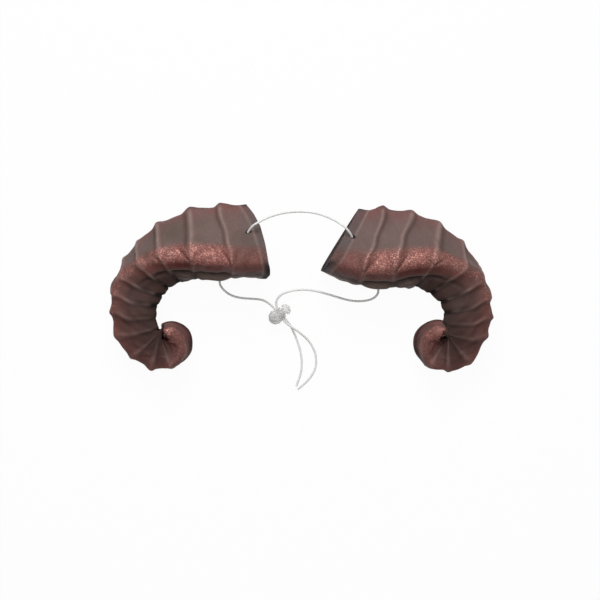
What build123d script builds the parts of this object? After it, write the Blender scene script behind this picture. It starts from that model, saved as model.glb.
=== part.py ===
"""A pair of costume ram's horns threaded on one elastic cord, with a cord lock on its two tails.

Millimetres, +Z up. The pair lies on its side on the plane Z = 0, as on a table: the left horn
at -X, the right horn at +X, their head ends facing each other. The origin is on that plane,
under the middle of the pair.

Each horn is a moulded latex skin over a foam core, and the core shows at the cut head end. The
elastic runs through a slanted hole in each horn, over the gap between the head ends and back
underneath to a push-button cord lock, and its two tails lie free beyond it.
"""

from build123d import *
import os
from math import cos, exp, hypot, pi, radians, sin, tan

os.makedirs("parts", exist_ok=True)

# ---------------------------------------------------------------- driving dimensions, in mm
SKIN_WALL = 1.8  # latex skin of the horns
RIB_COUNT = 14  # growth ridges from the head end to the tip
RIB_SHRINK = 0.935  # spacing of each ridge against the one before it
LEFT_FIRST_RIB = 58.0  # run along the centre line to the first ridge
RIGHT_FIRST_RIB = 66.0
RIB_DEPTH = 2.6  # how far the skin falls back between two ridges at the head end
TIP_RIB_DEPTH = 1.2  # and at the tip
KEEL_RAISE = 0.40  # height of the three long edges of the section, as a share of its radius
KEEL_SPREAD = 34.0  # degrees over which an edge fades into the faces beside it
KEEL_APART = 118.0  # degrees between neighbouring edges
SECTION_POINTS = 36
GROOVE_DEPTH = 5.0  # of the groove under the top edge
GROOVE_APART = 47.0  # degrees from the top edge to the groove
GROOVE_SPREAD = 13.0
GROOVE_RUN = (26.0, 62.0)  # from the head end, the run over which the groove deepens
GROOVE_FADE = (0.30, 0.56)  # shares of the length over which it dies out
RIDGE_SHARE = 0.25  # share of the groove's depth that is left on a ridge
LOBE_RISE = 2.4  # of the lobes below the groove
LOBE_APART = 76.0
LOBE_SPREAD = 17.0
LOBE_FADE = (0.50, 0.66)
TOP_SHARE = 0.6  # share of the rib depth that shows on the upper face and underside
TIP_ROUNDING = 3.2  # length of the rounded end of the tip
TIP_TURNS = (35, 65)  # where the sections of the rounded end lie on it, in degrees
CUT_MIDDLE = 24.5  # height about which the cuts at the head ends lean
STEPS = 24  # measuring steps from one station to the next

# Centre line of each horn where it lies, from beyond its head end to the tip. The two are one
# pattern and its mirror image, but soft, and finished and laid down by hand. At each station:
# distance from the middle of the pair, y, lift of the underside off the table, half width,
# half thickness, and the turn of the top edge from the outer side, in degrees.
LEFT_STATIONS = [
    (14.0, 42.7, 0.0, 34.0, 24.5, 116.0),
    (34.0, 42.7, 0.0, 34.0, 24.5, 116.0),
    (54.0, 42.9, 0.0, 33.8, 24.5, 115.0),
    (73.0, 42.6, 0.0, 33.9, 24.0, 113.0),
    (92.0, 41.0, 0.0, 32.9, 23.0, 109.0),
    (110.0, 36.2, 0.0, 31.0, 21.5, 102.0),
    (126.5, 27.7, 0.0, 27.9, 20.0, 92.0),
    (140.0, 14.3, 0.0, 25.2, 18.5, 76.0),
    (147.8, -1.2, 0.0, 23.0, 17.4, 55.0),
    (150.8, -17.0, 0.0, 21.6, 16.6, 36.0),
    (150.4, -32.0, 0.0, 20.2, 15.6, 22.0),
    (147.4, -44.6, 0.2, 18.4, 14.8, 16.0),
    (141.0, -53.7, 0.4, 15.6, 14.0, 12.0),
    (135.1, -57.6, 0.8, 14.6, 13.6, 12.0),
    (129.7, -59.8, 1.6, 14.8, 13.2, 14.0),
    (122.8, -60.8, 3.0, 12.8, 12.6, 32.0),
    (115.7, -58.6, 5.0, 12.1, 12.0, 56.0),
    (110.7, -53.1, 8.0, 11.6, 11.2, 78.0),
    (108.9, -46.0, 11.5, 10.6, 10.2, 95.0),
    (110.9, -40.1, 15.5, 8.8, 9.0, 106.0),
    (115.4, -36.4, 19.5, 7.2, 7.6, 112.0),
    (120.6, -36.0, 22.6, 6.4, 6.4, 116.0),
    (125.0, -37.4, 24.6, 5.4, 5.4, 118.0),
]
RIGHT_STATIONS = [
    (6.0, 44.0, 0.0, 32.0, 24.5, 116.0),
    (24.0, 42.0, 0.0, 33.0, 24.5, 116.0),
    (44.0, 39.6, 0.0, 34.4, 24.5, 115.0),
    (64.0, 37.4, 0.0, 36.4, 24.5, 113.0),
    (83.0, 36.6, 0.0, 36.6, 24.0, 110.0),
    (101.0, 34.0, 0.0, 34.6, 22.6, 104.0),
    (118.5, 27.6, 0.0, 31.4, 21.0, 95.0),
    (133.5, 15.2, 0.0, 27.4, 19.4, 80.0),
    (144.6, -1.0, 0.0, 23.8, 17.8, 57.0),
    (149.8, -17.0, 0.0, 21.8, 16.8, 36.0),
    (150.6, -32.0, 0.0, 20.6, 15.8, 22.0),
    (149.4, -45.6, 0.2, 16.4, 14.8, 16.0),
    (144.7, -55.0, 0.4, 14.8, 14.0, 12.0),
    (136.6, -60.6, 1.0, 15.0, 13.6, 12.0),
    (127.4, -61.6, 2.2, 13.4, 13.0, 32.0),
    (119.0, -59.2, 4.4, 12.6, 12.4, 56.0),
    (113.5, -53.0, 7.8, 11.6, 11.6, 78.0),
    (112.0, -45.4, 11.5, 10.4, 10.4, 95.0),
    (114.9, -38.9, 15.5, 9.0, 9.2, 106.0),
    (120.4, -35.5, 19.5, 7.6, 7.8, 112.0),
    (126.0, -35.2, 22.6, 6.8, 6.6, 116.0),
    (130.4, -37.0, 24.6, 5.8, 5.6, 118.0),
]

# Flat cuts at the head ends: a point, slant in plan and lean in height, in degrees
LEFT_CUT = ((-39.2, 42.4), 17.2, -12.0)
RIGHT_CUT = ((34.0, 44.0), 151.4, 4.0)

CORD_DIAMETER = 2.0
BORE_CLEARANCE = 0.08  # running clearance of the cord in the horns, all round
BORE_OVERRUN = 30.0  # how far the drill runs past each mouth

# Ends of the slanted holes: mouth on the upper face, mouth on the underside by the bay
LEFT_MOUTHS = ((-46.9, 50.8, 41.6), (-72.6, 11.4, 8.6))
RIGHT_MOUTHS = ((44.2, 46.9, 41.8), (68.5, 2.6, 8.2))
UPPER_RUN = 6.0  # the cord goes on straight this far from an upper mouth
LOWER_RUN = 3.6  # and from a lower one

# Cord lock: a ball-ended barrel and a ball-headed plunger in line, lying on the table. Along
# their axis, lengths count from the middle of the two strands towards the button.
LOCK_PLACE = (-19.5, -23.0)
LOCK_ANGLE = 38.0  # degrees from +X, from barrel to button
BARREL_RADIUS = 6.8
BARREL_CENTRE = -5.1
COLLAR_RADIUS = 5.2
COLLAR_END = 3.4
HEAD_RADIUS = 5.3
HEAD_RISE = 0.8  # centre of the head's ball above its flat underside
TRAVEL = 1.6  # how far the button goes down
STOP_GAP = 0.1  # left between head and collar when the button is down
STEM_DIAMETER = 6.4
STEM_CLEARANCE = 0.06  # running fit in the barrel, all round
STEM_FOOT = 3.2  # length of the stem below its window
SOCKET_FLOOR = 1.9  # plastic left at the end of the barrel
STRAND_GAP = 0.1  # between the two strands in the lock
WINDOW_CLEARANCE = 0.1  # round the strands, in barrel and stem
SPRING_WIRE = 0.45
SPRING_TURNS = 4
SPRING_SIDE_GAP = 0.35  # from the socket's wall
SPRING_SEAT_GAP = 0.04  # from its two seats

# Routes of the elastic's free stretches, between a mouth's straight run and the next
BRIDGE_POINTS = [
    (-39.6, 57.6, 46.6),
    (-31.0, 62.6, 43.4),
    (-18.0, 67.2, 36.0),
    (-2.0, 69.2, 31.0),
    (13.5, 67.6, 32.0),
    (27.0, 62.2, 39.0),
    (36.4, 56.0, 45.6),
]
LEFT_LEG_POINTS = [
    (-74.6, 3.6, 4.0),
    (-70.4, -2.0, 3.0),
    (-63.6, -6.6, 2.0),
    (-54.5, -8.8, 1.6),
    (-44.5, -9.2, 2.6),
    (-34.6, -10.2, 5.2),
]
LEFT_TAIL_POINTS = [
    (-9.0, -35.0, 7.0),
    (-2.0, -39.6, 5.0),
    (5.0, -45.6, 2.0),
    (10.6, -53.0, 1.1),
    (13.6, -62.5, 1.1),
    (13.2, -72.0, 1.1),
    (9.0, -80.0, 1.1),
    (3.2, -86.6, 1.1),
    (-3.7, -91.9, 1.1),
]
RIGHT_LEG_POINTS = [
    (70.0, -3.9, 4.0),
    (67.6, -7.6, 3.2),
    (62.4, -10.4, 2.4),
    (54.0, -11.6, 1.4),
    (46.0, -11.2, 1.1),
    (38.0, -9.4, 1.1),
    (26.0, -5.6, 1.1),
    (14.0, -2.2, 1.3),
    (3.0, -0.6, 2.2),
    (-8.0, -1.6, 3.8),
    (-17.0, -4.2, 5.8),
    (-22.6, -9.4, 6.8),
]
RIGHT_TAIL_POINTS = [
    (-9.9, -33.6, 3.6),
    (-7.2, -39.5, 1.3),
    (-3.8, -47.5, 1.1),
    (-0.8, -57.0, 1.1),
    (0.5, -68.0, 1.1),
    (-0.6, -79.0, 1.1),
    (-4.9, -89.0, 1.1),
]
LEFT_LOCK_RUN = (-11.0, 9.0)  # straight run of a strand through the lock, about its middle
RIGHT_LOCK_RUN = (-7.5, 8.0)
ARC_SHARE = 0.45  # of the shorter run that an arc's tangent takes


# ---------------------------------------------------------------- the horn's form
def ramp(value: float, start: float, stop: float) -> float:
    """Straight rise from 0 at start to 1 at stop."""
    return min(max((value - start) / (stop - start), 0.0), 1.0)


class Horn:
    """A horn's stations, on its side of the middle, and the run along its centre line."""

    def __init__(self, side: int, stations: list[tuple], first_rib: float):
        self.side = side
        self.first_rib = first_rib
        self.stations = stations
        self.end = len(stations) - 1
        self.marks = [(0.0, 0.0)]
        while self.marks[-1][0] < self.end - 1e-6:
            place, run = self.marks[-1]
            following = place + 1 / STEPS
            step = (self.centre(following) - self.centre(place)).length
            self.marks.append((following, run + step))
        self.length = self.marks[-1][1]

    def along(self, place: float) -> list[float]:
        """All values at a place between the stations, on a smooth curve through them."""
        first = min(max(int(place), 0), self.end - 1)
        part = place - first
        near = [self.stations[min(max(first + k, 0), self.end)] for k in (-1, 0, 1, 2)]
        return [
            0.5
            * (
                2 * b
                + (c - a) * part
                + (2 * a - 5 * b + 4 * c - d) * part**2
                + (3 * b - a - 3 * c + d) * part**3
            )
            for a, b, c, d in zip(*near)
        ]

    def centre(self, place: float) -> Vector:
        """The middle of the section at a place."""
        out, y, lift, _, half_thickness, _ = self.along(place)
        return Vector(self.side * out, y, lift + half_thickness)

    def place_at(self, run: float) -> float:
        """The place that lies at a run along the centre line."""
        for (place, start), (following, stop) in zip(self.marks, self.marks[1:]):
            if stop >= run:
                return place + (following - place) * (run - start) / (stop - start)
        return float(self.end)

    def ribs(self) -> list[float]:
        """Runs of the ridges, each gap a fixed share of the one before."""
        room = self.length - self.first_rib
        gap = room * (1 - RIB_SHRINK) / (1 - RIB_SHRINK**RIB_COUNT)
        crests = [self.first_rib]
        for k in range(RIB_COUNT - 1):
            crests.append(crests[-1] + gap * RIB_SHRINK**k)
        return crests

    def plane(self, place: float) -> Plane:
        """Plane across the horn: x outwards from the curl, y up from the table."""
        low, high = max(place - 0.02, 0.0), min(place + 0.02, float(self.end))
        heading = (self.centre(high) - self.centre(low)).normalized()
        outwards = Vector(-self.side * heading.Y, self.side * heading.X, 0).normalized()
        return Plane(origin=self.centre(place), x_dir=outwards, z_dir=heading * self.side)

    def shaped(self, run: float, hollow: float) -> tuple[float, ...]:
        """A section at a run: its place, hollow, groove depth and lobe height."""
        along = run / self.length
        groove = GROOVE_DEPTH * ramp(run, *GROOVE_RUN) * (1 - ramp(along, *GROOVE_FADE))
        lobe = LOBE_RISE * (1 - ramp(along, *LOBE_FADE))
        if not hollow:
            groove *= RIDGE_SHARE
            lobe = 0.0
        return self.place_at(run), hollow, groove, lobe

    def sections(self) -> list[tuple[float, ...]]:
        """Shaped sections: on each ridge and twice between two, then the tip."""
        crests = self.ribs()
        cuts = [(0.0, RIB_DEPTH), (self.first_rib * 2 / 3, RIB_DEPTH)]
        for crest, following in zip(crests, crests[1:]):
            depth = RIB_DEPTH + (TIP_RIB_DEPTH - RIB_DEPTH) * crest / self.length
            gap = following - crest
            cuts += [(crest, 0.0), (crest + gap / 3, depth), (crest + gap * 2 / 3, depth)]
        neck = self.length - TIP_ROUNDING
        last_width = self.along(self.place_at(neck))[3]
        cuts += [(crests[-1], 0.0), (neck, 0.0)]
        for turn in TIP_TURNS:
            run = neck + TIP_ROUNDING * sin(radians(turn))
            cuts.append((run, last_width * (1 - cos(radians(turn)))))
        return [self.shaped(run, hollow) for run, hollow in cuts]


def section_outline(values: list[float], form: tuple[float, ...], inset: float) -> list[tuple]:
    """Points of a section: outwards and up from its middle, drawn in by its hollow and inset."""
    _, _, _, half_width, half_thickness, turn = values
    hollow, groove, lobe = form

    def radius(angle: float) -> float:
        gaps = [(angle - turn - k * KEEL_APART + 180) % 360 - 180 for k in (-1, 0, 1)]
        return 1 + KEEL_RAISE * sum(exp(-((gap / KEEL_SPREAD) ** 2)) for gap in gaps)

    def raised(angle: float) -> float:
        gap = (angle - turn + 180) % 360 - 180
        dip = groove * exp(-(((gap - GROOVE_APART) / GROOVE_SPREAD) ** 2))
        return lobe * exp(-(((gap - LOBE_APART) / LOBE_SPREAD) ** 2)) - dip

    angles = [360 * k / SECTION_POINTS for k in range(SECTION_POINTS)]
    ring = [(radius(a) * cos(radians(a)), radius(a) * sin(radians(a))) for a in angles]
    outer, inner = max(u for u, _ in ring), min(u for u, _ in ring)
    top, bottom = max(v for _, v in ring), min(v for _, v in ring)
    wide = half_width - hollow - inset
    thick = half_thickness - TOP_SHARE * hollow - inset
    points = []
    for angle, (u, v) in zip(angles, ring):
        out = wide * (2 * (u - inner) / (outer - inner) - 1)
        up = thick * (2 * (v - bottom) / (top - bottom) - 1)
        grown = 1 + raised(angle) / hypot(out, up)
        points.append((out * grown, up * grown))
    return points


def horn_form(horn: Horn, inset: float) -> Part:
    """The solid form of a horn. One drawn in all round by inset ends before the rounded tip."""
    sections = horn.sections()
    if inset:
        sections = sections[: -len(TIP_TURNS)]
    with BuildPart() as form:
        for place, *shape in sections:
            with BuildSketch(horn.plane(place)):
                with BuildLine():
                    Polyline(*section_outline(horn.along(place), shape, inset), close=True)
                make_face()
        loft(ruled=True)
    return form.part


def cut_plane(cut: tuple) -> Plane:
    """Plane of a head end, facing away from the horn."""
    (x, y), slant, lean = cut
    across = Vector(cos(radians(slant)), sin(radians(slant)), 0)
    out = across * cos(radians(lean)) + Vector(0, 0, sin(radians(lean)))
    return Plane(origin=(x, y, CUT_MIDDLE), z_dir=out)


def bore_plane(mouths: tuple) -> Plane:
    """Plane at the upper mouth of a slanted hole, facing out along the hole."""
    upper, lower = (Vector(*point) for point in mouths)
    return Plane(origin=upper, z_dir=(upper - lower).normalized())


def bore_length(mouths: tuple) -> float:
    """Distance between the two mouths of a slanted hole."""
    upper, lower = (Vector(*point) for point in mouths)
    return (upper - lower).length


def finish_horn(cut: tuple, mouths: tuple) -> None:
    """Cuts the head end flat and drills the cord's hole through the part being built."""
    split(bisect_by=cut_plane(cut), keep=Keep.BOTTOM)
    with BuildSketch(bore_plane(mouths).offset(BORE_OVERRUN)) as hole:
        Circle(CORD_DIAMETER / 2 + BORE_CLEARANCE)
    drilled = bore_length(mouths) + 2 * BORE_OVERRUN
    extrude(hole.sketch, amount=-drilled, mode=Mode.SUBTRACT)


# ---------------------------------------------------------------- horns
left_horn = Horn(-1, LEFT_STATIONS, LEFT_FIRST_RIB)
right_horn = Horn(1, RIGHT_STATIONS, RIGHT_FIRST_RIB)
left_core_form = horn_form(left_horn, SKIN_WALL)
right_core_form = horn_form(right_horn, SKIN_WALL)

with BuildPart() as left_horn_skin:
    add(horn_form(left_horn, 0.0))
    add(left_core_form, mode=Mode.SUBTRACT)
    finish_horn(LEFT_CUT, LEFT_MOUTHS)

with BuildPart() as left_foam_core:
    add(left_core_form)
    finish_horn(LEFT_CUT, LEFT_MOUTHS)

with BuildPart() as right_horn_skin:
    add(horn_form(right_horn, 0.0))
    add(right_core_form, mode=Mode.SUBTRACT)
    finish_horn(RIGHT_CUT, RIGHT_MOUTHS)

with BuildPart() as right_foam_core:
    add(right_core_form)
    finish_horn(RIGHT_CUT, RIGHT_MOUTHS)

# ---------------------------------------------------------------- cord lock
cord_radius = CORD_DIAMETER / 2
across_lock = Vector(cos(radians(LOCK_ANGLE)), sin(radians(LOCK_ANGLE)), 0)
along_strands = Vector(across_lock.Y, -across_lock.X, 0)
lock_centre = Vector(*LOCK_PLACE, BARREL_RADIUS)
lock_plane = Plane(origin=lock_centre, x_dir=across_lock, z_dir=(0, 0, 1))
lock_axis = Axis(lock_centre, across_lock)
strand_offset = cord_radius + STRAND_GAP / 2
window_half = strand_offset + cord_radius + WINDOW_CLEARANCE
stem_radius = STEM_DIAMETER / 2
socket_radius = stem_radius + STEM_CLEARANCE
socket_end = BARREL_CENTRE - BARREL_RADIUS + SOCKET_FLOOR
stem_end = -window_half - STEM_FOOT
head_start = COLLAR_END + TRAVEL + STOP_GAP
head_centre = head_start + HEAD_RISE
window_height = CORD_DIAMETER + 2 * WINDOW_CLEARANCE
strand_plane = Plane(origin=lock_centre, x_dir=across_lock, z_dir=along_strands)

with BuildPart() as cord_lock_barrel:
    with BuildSketch(lock_plane):
        with Locations((BARREL_CENTRE, 0)):
            Circle(BARREL_RADIUS)
        with Locations((BARREL_CENTRE, 0)):
            Rectangle(
                COLLAR_END - BARREL_CENTRE, 2 * COLLAR_RADIUS, align=(Align.MIN, Align.CENTER)
            )
        with Locations((socket_end, 0)):
            Rectangle(
                COLLAR_END - socket_end,
                2 * socket_radius,
                align=(Align.MIN, Align.CENTER),
                mode=Mode.SUBTRACT,
            )
        split(bisect_by=Plane.XZ, keep=Keep.BOTTOM)
    revolve(axis=lock_axis)
    with BuildSketch(strand_plane):
        SlotOverall(2 * window_half, window_height)
    extrude(amount=2 * BARREL_RADIUS, both=True, mode=Mode.SUBTRACT)

with BuildPart() as cord_lock_plunger:
    with BuildSketch(lock_plane):
        with Locations((head_centre, 0)):
            Circle(HEAD_RADIUS)
        with Locations((head_start, 0)):
            Rectangle(
                2 * HEAD_RADIUS,
                2 * HEAD_RADIUS,
                align=(Align.MAX, Align.CENTER),
                mode=Mode.SUBTRACT,
            )
        with Locations((stem_end, 0)):
            Rectangle(
                head_centre - stem_end, 2 * stem_radius, align=(Align.MIN, Align.CENTER)
            )
        split(bisect_by=Plane.XZ, keep=Keep.BOTTOM)
    revolve(axis=lock_axis)
    with BuildSketch(strand_plane):
        with Locations((TRAVEL / 2, 0)):
            SlotOverall(2 * window_half + TRAVEL, window_height)
    extrude(amount=2 * BARREL_RADIUS, both=True, mode=Mode.SUBTRACT)

spring_start = socket_end + SPRING_SEAT_GAP + SPRING_WIRE / 2
spring_height = stem_end - SPRING_SEAT_GAP - SPRING_WIRE / 2 - spring_start
spring_radius = socket_radius - SPRING_SIDE_GAP - SPRING_WIRE / 2

with BuildPart() as cord_lock_spring:
    with BuildLine() as coil:
        Helix(
            pitch=spring_height / SPRING_TURNS,
            height=spring_height,
            radius=spring_radius,
            center=lock_centre + across_lock * spring_start,
            direction=across_lock,
        )
    with BuildSketch(Plane(origin=coil.line @ 0, z_dir=coil.line % 0)):
        Circle(SPRING_WIRE / 2)
    sweep(path=coil.line, is_frenet=True)


# ---------------------------------------------------------------- elastic cord
def mouth_runs(mouths: tuple) -> tuple:
    """The two mouths of a hole and the ends of the straight runs beyond them."""
    upper, lower = (Vector(*point) for point in mouths)
    out = (upper - lower).normalized()
    return upper, upper + out * UPPER_RUN, lower, lower - out * LOWER_RUN


def strand_run(offset: float, ends: tuple) -> list[Vector]:
    """The two ends of a strand's straight run through the lock."""
    middle = lock_centre + across_lock * offset
    return [middle + along_strands * end for end in ends]


def arc_radii(points: list[Vector]) -> list[float]:
    """Radius at each inner point: as large as its two runs allow."""
    radii = []
    for before, corner, after in zip(points, points[1:], points[2:]):
        run_in, run_out = corner - before, after - corner
        half_turn = radians(run_in.get_angle(run_out)) / 2
        radii.append(ARC_SHARE * min(run_in.length, run_out.length) / tan(half_turn))
    return radii


def cord_tube(name: str, points: list) -> Part:
    """A stretch of the elastic along a route of straight runs and the arcs between them."""
    route = [Vector(*point) for point in points]
    radii = arc_radii(route)
    with BuildPart() as tube:
        with BuildLine() as route_line:
            FilletPolyline(*route, radius=radii)
        path = route_line.wire()
        with BuildSketch(Plane(origin=path @ 0, z_dir=path % 0)):
            Circle(cord_radius)
        sweep(path=path)
    share = tube.part.volume / (pi * cord_radius**2 * path.length)
    print(name, "length", round(path.length, 1), "volume share", round(share, 4))
    print("  radii", [round(radius, 1) for radius in radii])
    return tube.part


left_upper, left_upper_run, left_lower, left_lower_run = mouth_runs(LEFT_MOUTHS)
right_upper, right_upper_run, right_lower, right_lower_run = mouth_runs(RIGHT_MOUTHS)

with BuildPart() as cord_bridge:
    route = [left_upper, left_upper_run, *BRIDGE_POINTS, right_upper_run, right_upper]
    add(cord_tube("cord_bridge", route))

with BuildPart() as cord_left_leg:
    strand = strand_run(-strand_offset, LEFT_LOCK_RUN)
    route = [left_lower, left_lower_run, *LEFT_LEG_POINTS, *strand, *LEFT_TAIL_POINTS]
    add(cord_tube("cord_left_leg", route))

with BuildPart() as cord_right_leg:
    strand = strand_run(strand_offset, RIGHT_LOCK_RUN)
    route = [right_lower, right_lower_run, *RIGHT_LEG_POINTS, *strand, *RIGHT_TAIL_POINTS]
    add(cord_tube("cord_right_leg", route))

with BuildPart() as cord_in_left_horn:
    with BuildSketch(bore_plane(LEFT_MOUTHS)):
        Circle(cord_radius)
    extrude(amount=-bore_length(LEFT_MOUTHS))

with BuildPart() as cord_in_right_horn:
    with BuildSketch(bore_plane(RIGHT_MOUTHS)):
        Circle(cord_radius)
    extrude(amount=-bore_length(RIGHT_MOUTHS))


# ---------------------------------------------------------------- one file for each piece
pieces = {
    "left_horn_skin": left_horn_skin,
    "left_foam_core": left_foam_core,
    "right_horn_skin": right_horn_skin,
    "right_foam_core": right_foam_core,
    "cord_bridge": cord_bridge,
    "cord_in_left_horn": cord_in_left_horn,
    "cord_in_right_horn": cord_in_right_horn,
    "cord_left_leg": cord_left_leg,
    "cord_right_leg": cord_right_leg,
    "cord_lock_barrel": cord_lock_barrel,
    "cord_lock_plunger": cord_lock_plunger,
    "cord_lock_spring": cord_lock_spring,
}
for name, piece in pieces.items():
    piece.part.label = name
    export_step(piece.part, f"parts/{name}.step")
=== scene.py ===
"""Looks of a pair of costume ram horns: latex skins over foam, an elastic cord and its sprung cord lock.

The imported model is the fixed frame, in metres: +X from the left horn to the right one, +Y towards the head
ends and +Z up from the table that the pair lies on. Sizes here are in millimetres and angles in degrees,
unless a comment says otherwise, and MM turns them into the model's metres.
"""

import logging
import math
from collections.abc import Callable
from dataclasses import astuple, dataclass
from enum import Enum

import bmesh
import bpy
import numpy as np
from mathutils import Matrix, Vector


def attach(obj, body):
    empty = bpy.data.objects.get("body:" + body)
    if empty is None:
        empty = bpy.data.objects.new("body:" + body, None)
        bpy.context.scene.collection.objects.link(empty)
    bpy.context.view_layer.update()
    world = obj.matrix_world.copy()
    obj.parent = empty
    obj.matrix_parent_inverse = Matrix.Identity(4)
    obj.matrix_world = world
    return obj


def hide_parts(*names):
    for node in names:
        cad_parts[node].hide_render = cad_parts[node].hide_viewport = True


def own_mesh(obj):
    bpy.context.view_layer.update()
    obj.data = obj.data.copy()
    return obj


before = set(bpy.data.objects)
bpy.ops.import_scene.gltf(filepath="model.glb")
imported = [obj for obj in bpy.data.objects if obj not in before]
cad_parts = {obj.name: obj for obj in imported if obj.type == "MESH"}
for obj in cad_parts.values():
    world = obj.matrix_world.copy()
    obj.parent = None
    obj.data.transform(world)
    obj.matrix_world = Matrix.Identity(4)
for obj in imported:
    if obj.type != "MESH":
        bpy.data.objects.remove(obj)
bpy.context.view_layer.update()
MM = 0.001
LOG = logging.getLogger("horns")

Colour = tuple[float, float, float]
Point = tuple[float, float, float]
Span = tuple[float, float]
Inset = Callable[[np.ndarray, np.ndarray], np.ndarray]


class Side(Enum):
    """The two horns, with the sign of X on which each one lies."""

    LEFT = -1
    RIGHT = 1

    @property
    def word(self) -> str:
        """The side's name as it stands in piece and body names."""
        return self.name.lower()


class Facets(Enum):
    """How finely a lock's ball is cut."""

    COARSE = (9, 5)
    FINE = (11, 6)


# ---------------------------------------------------------------- shared shader effects
class NodeMaker:
    """Helpers that add and join the nodes of one shader tree."""

    tree: bpy.types.NodeTree

    def node(self, kind: str, **settings: object) -> bpy.types.Node:
        """Adds a node of a kind with its settings."""
        made = self.tree.nodes.new(kind)
        for key, value in settings.items():
            setattr(made, key, value)
        return made

    def link(self, start: bpy.types.NodeSocket, end: bpy.types.NodeSocket) -> None:
        """Joins two sockets."""
        self.tree.links.new(start, end)

    def maths(self, operation: str, first: object, second: object) -> bpy.types.NodeSocket:
        """Adds a Math node; each operand is a socket or a number."""
        made = self.node("ShaderNodeMath", operation=operation)
        for place, operand in enumerate((first, second)):
            if isinstance(operand, (int, float)):
                made.inputs[place].default_value = operand
            else:
                self.link(operand, made.inputs[place])
        return made.outputs[0]


class EffectGroup(NodeMaker):
    """A shader node group with named sockets, built once and placed in each material that uses it."""

    def __init__(self, name: str, inputs: dict[str, float], outputs: list[str]):
        """Makes the empty group.

        Args:
            name: the group's name.
            inputs: float inputs and their defaults.
            outputs: float outputs.
        """
        self.tree = bpy.data.node_groups.new(name, "ShaderNodeTree")
        sockets = self.tree.interface
        sockets.new_socket("Place", in_out="INPUT", socket_type="NodeSocketVector")
        for label, value in inputs.items():
            socket = sockets.new_socket(label, in_out="INPUT", socket_type="NodeSocketFloat")
            socket.default_value = value
        for label in outputs:
            sockets.new_socket(label, in_out="OUTPUT", socket_type="NodeSocketFloat")
        self.enter = self.node("NodeGroupInput")
        self.leave = self.node("NodeGroupOutput")


def grain_effect() -> bpy.types.NodeTree:
    """Fine brushed grain and broad mottling over a surface.

    Returns:
        A group with outputs Grain and Mottle, both from 0 to 1.
    """
    group = EffectGroup("fine_grain", {"Fineness": 900.0, "Blotch": 60.0}, ["Grain", "Mottle"])
    fine = group.node("ShaderNodeTexNoise", noise_dimensions="3D")
    group.link(group.enter.outputs["Place"], fine.inputs["Vector"])
    group.link(group.enter.outputs["Fineness"], fine.inputs["Scale"])
    fine.inputs["Detail"].default_value = 3.0
    fine.inputs["Roughness"].default_value = 0.6
    group.link(fine.outputs["Fac"], group.leave.inputs["Grain"])
    broad = group.node("ShaderNodeTexNoise", noise_dimensions="3D")
    group.link(group.enter.outputs["Place"], broad.inputs["Vector"])
    group.link(group.enter.outputs["Blotch"], broad.inputs["Scale"])
    broad.inputs["Detail"].default_value = 4.0
    group.link(broad.outputs["Fac"], group.leave.inputs["Mottle"])
    return group.tree


def fleck_effect() -> bpy.types.NodeTree:
    """Scattered bright flecks, as of metal powder brushed over a surface.

    Returns:
        A group with the output Flecks, from 0 to 1.
    """
    group = EffectGroup("metal_flecks", {"Fineness": 1400.0, "Share": 0.5}, ["Flecks"])
    cells = group.node("ShaderNodeTexVoronoi", voronoi_dimensions="3D")
    group.link(group.enter.outputs["Place"], cells.inputs["Vector"])
    group.link(group.enter.outputs["Fineness"], cells.inputs["Scale"])
    split = group.node("ShaderNodeSeparateColor")
    group.link(cells.outputs["Color"], split.inputs["Color"])
    over = group.maths("SUBTRACT", split.outputs["Red"], group.enter.outputs["Share"])
    spread = group.maths("MULTIPLY", over, 3.0)
    clear = group.node("ShaderNodeClamp")
    group.link(spread, clear.inputs["Value"])
    group.link(clear.outputs["Result"], group.leave.inputs["Flecks"])
    return group.tree


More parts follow.
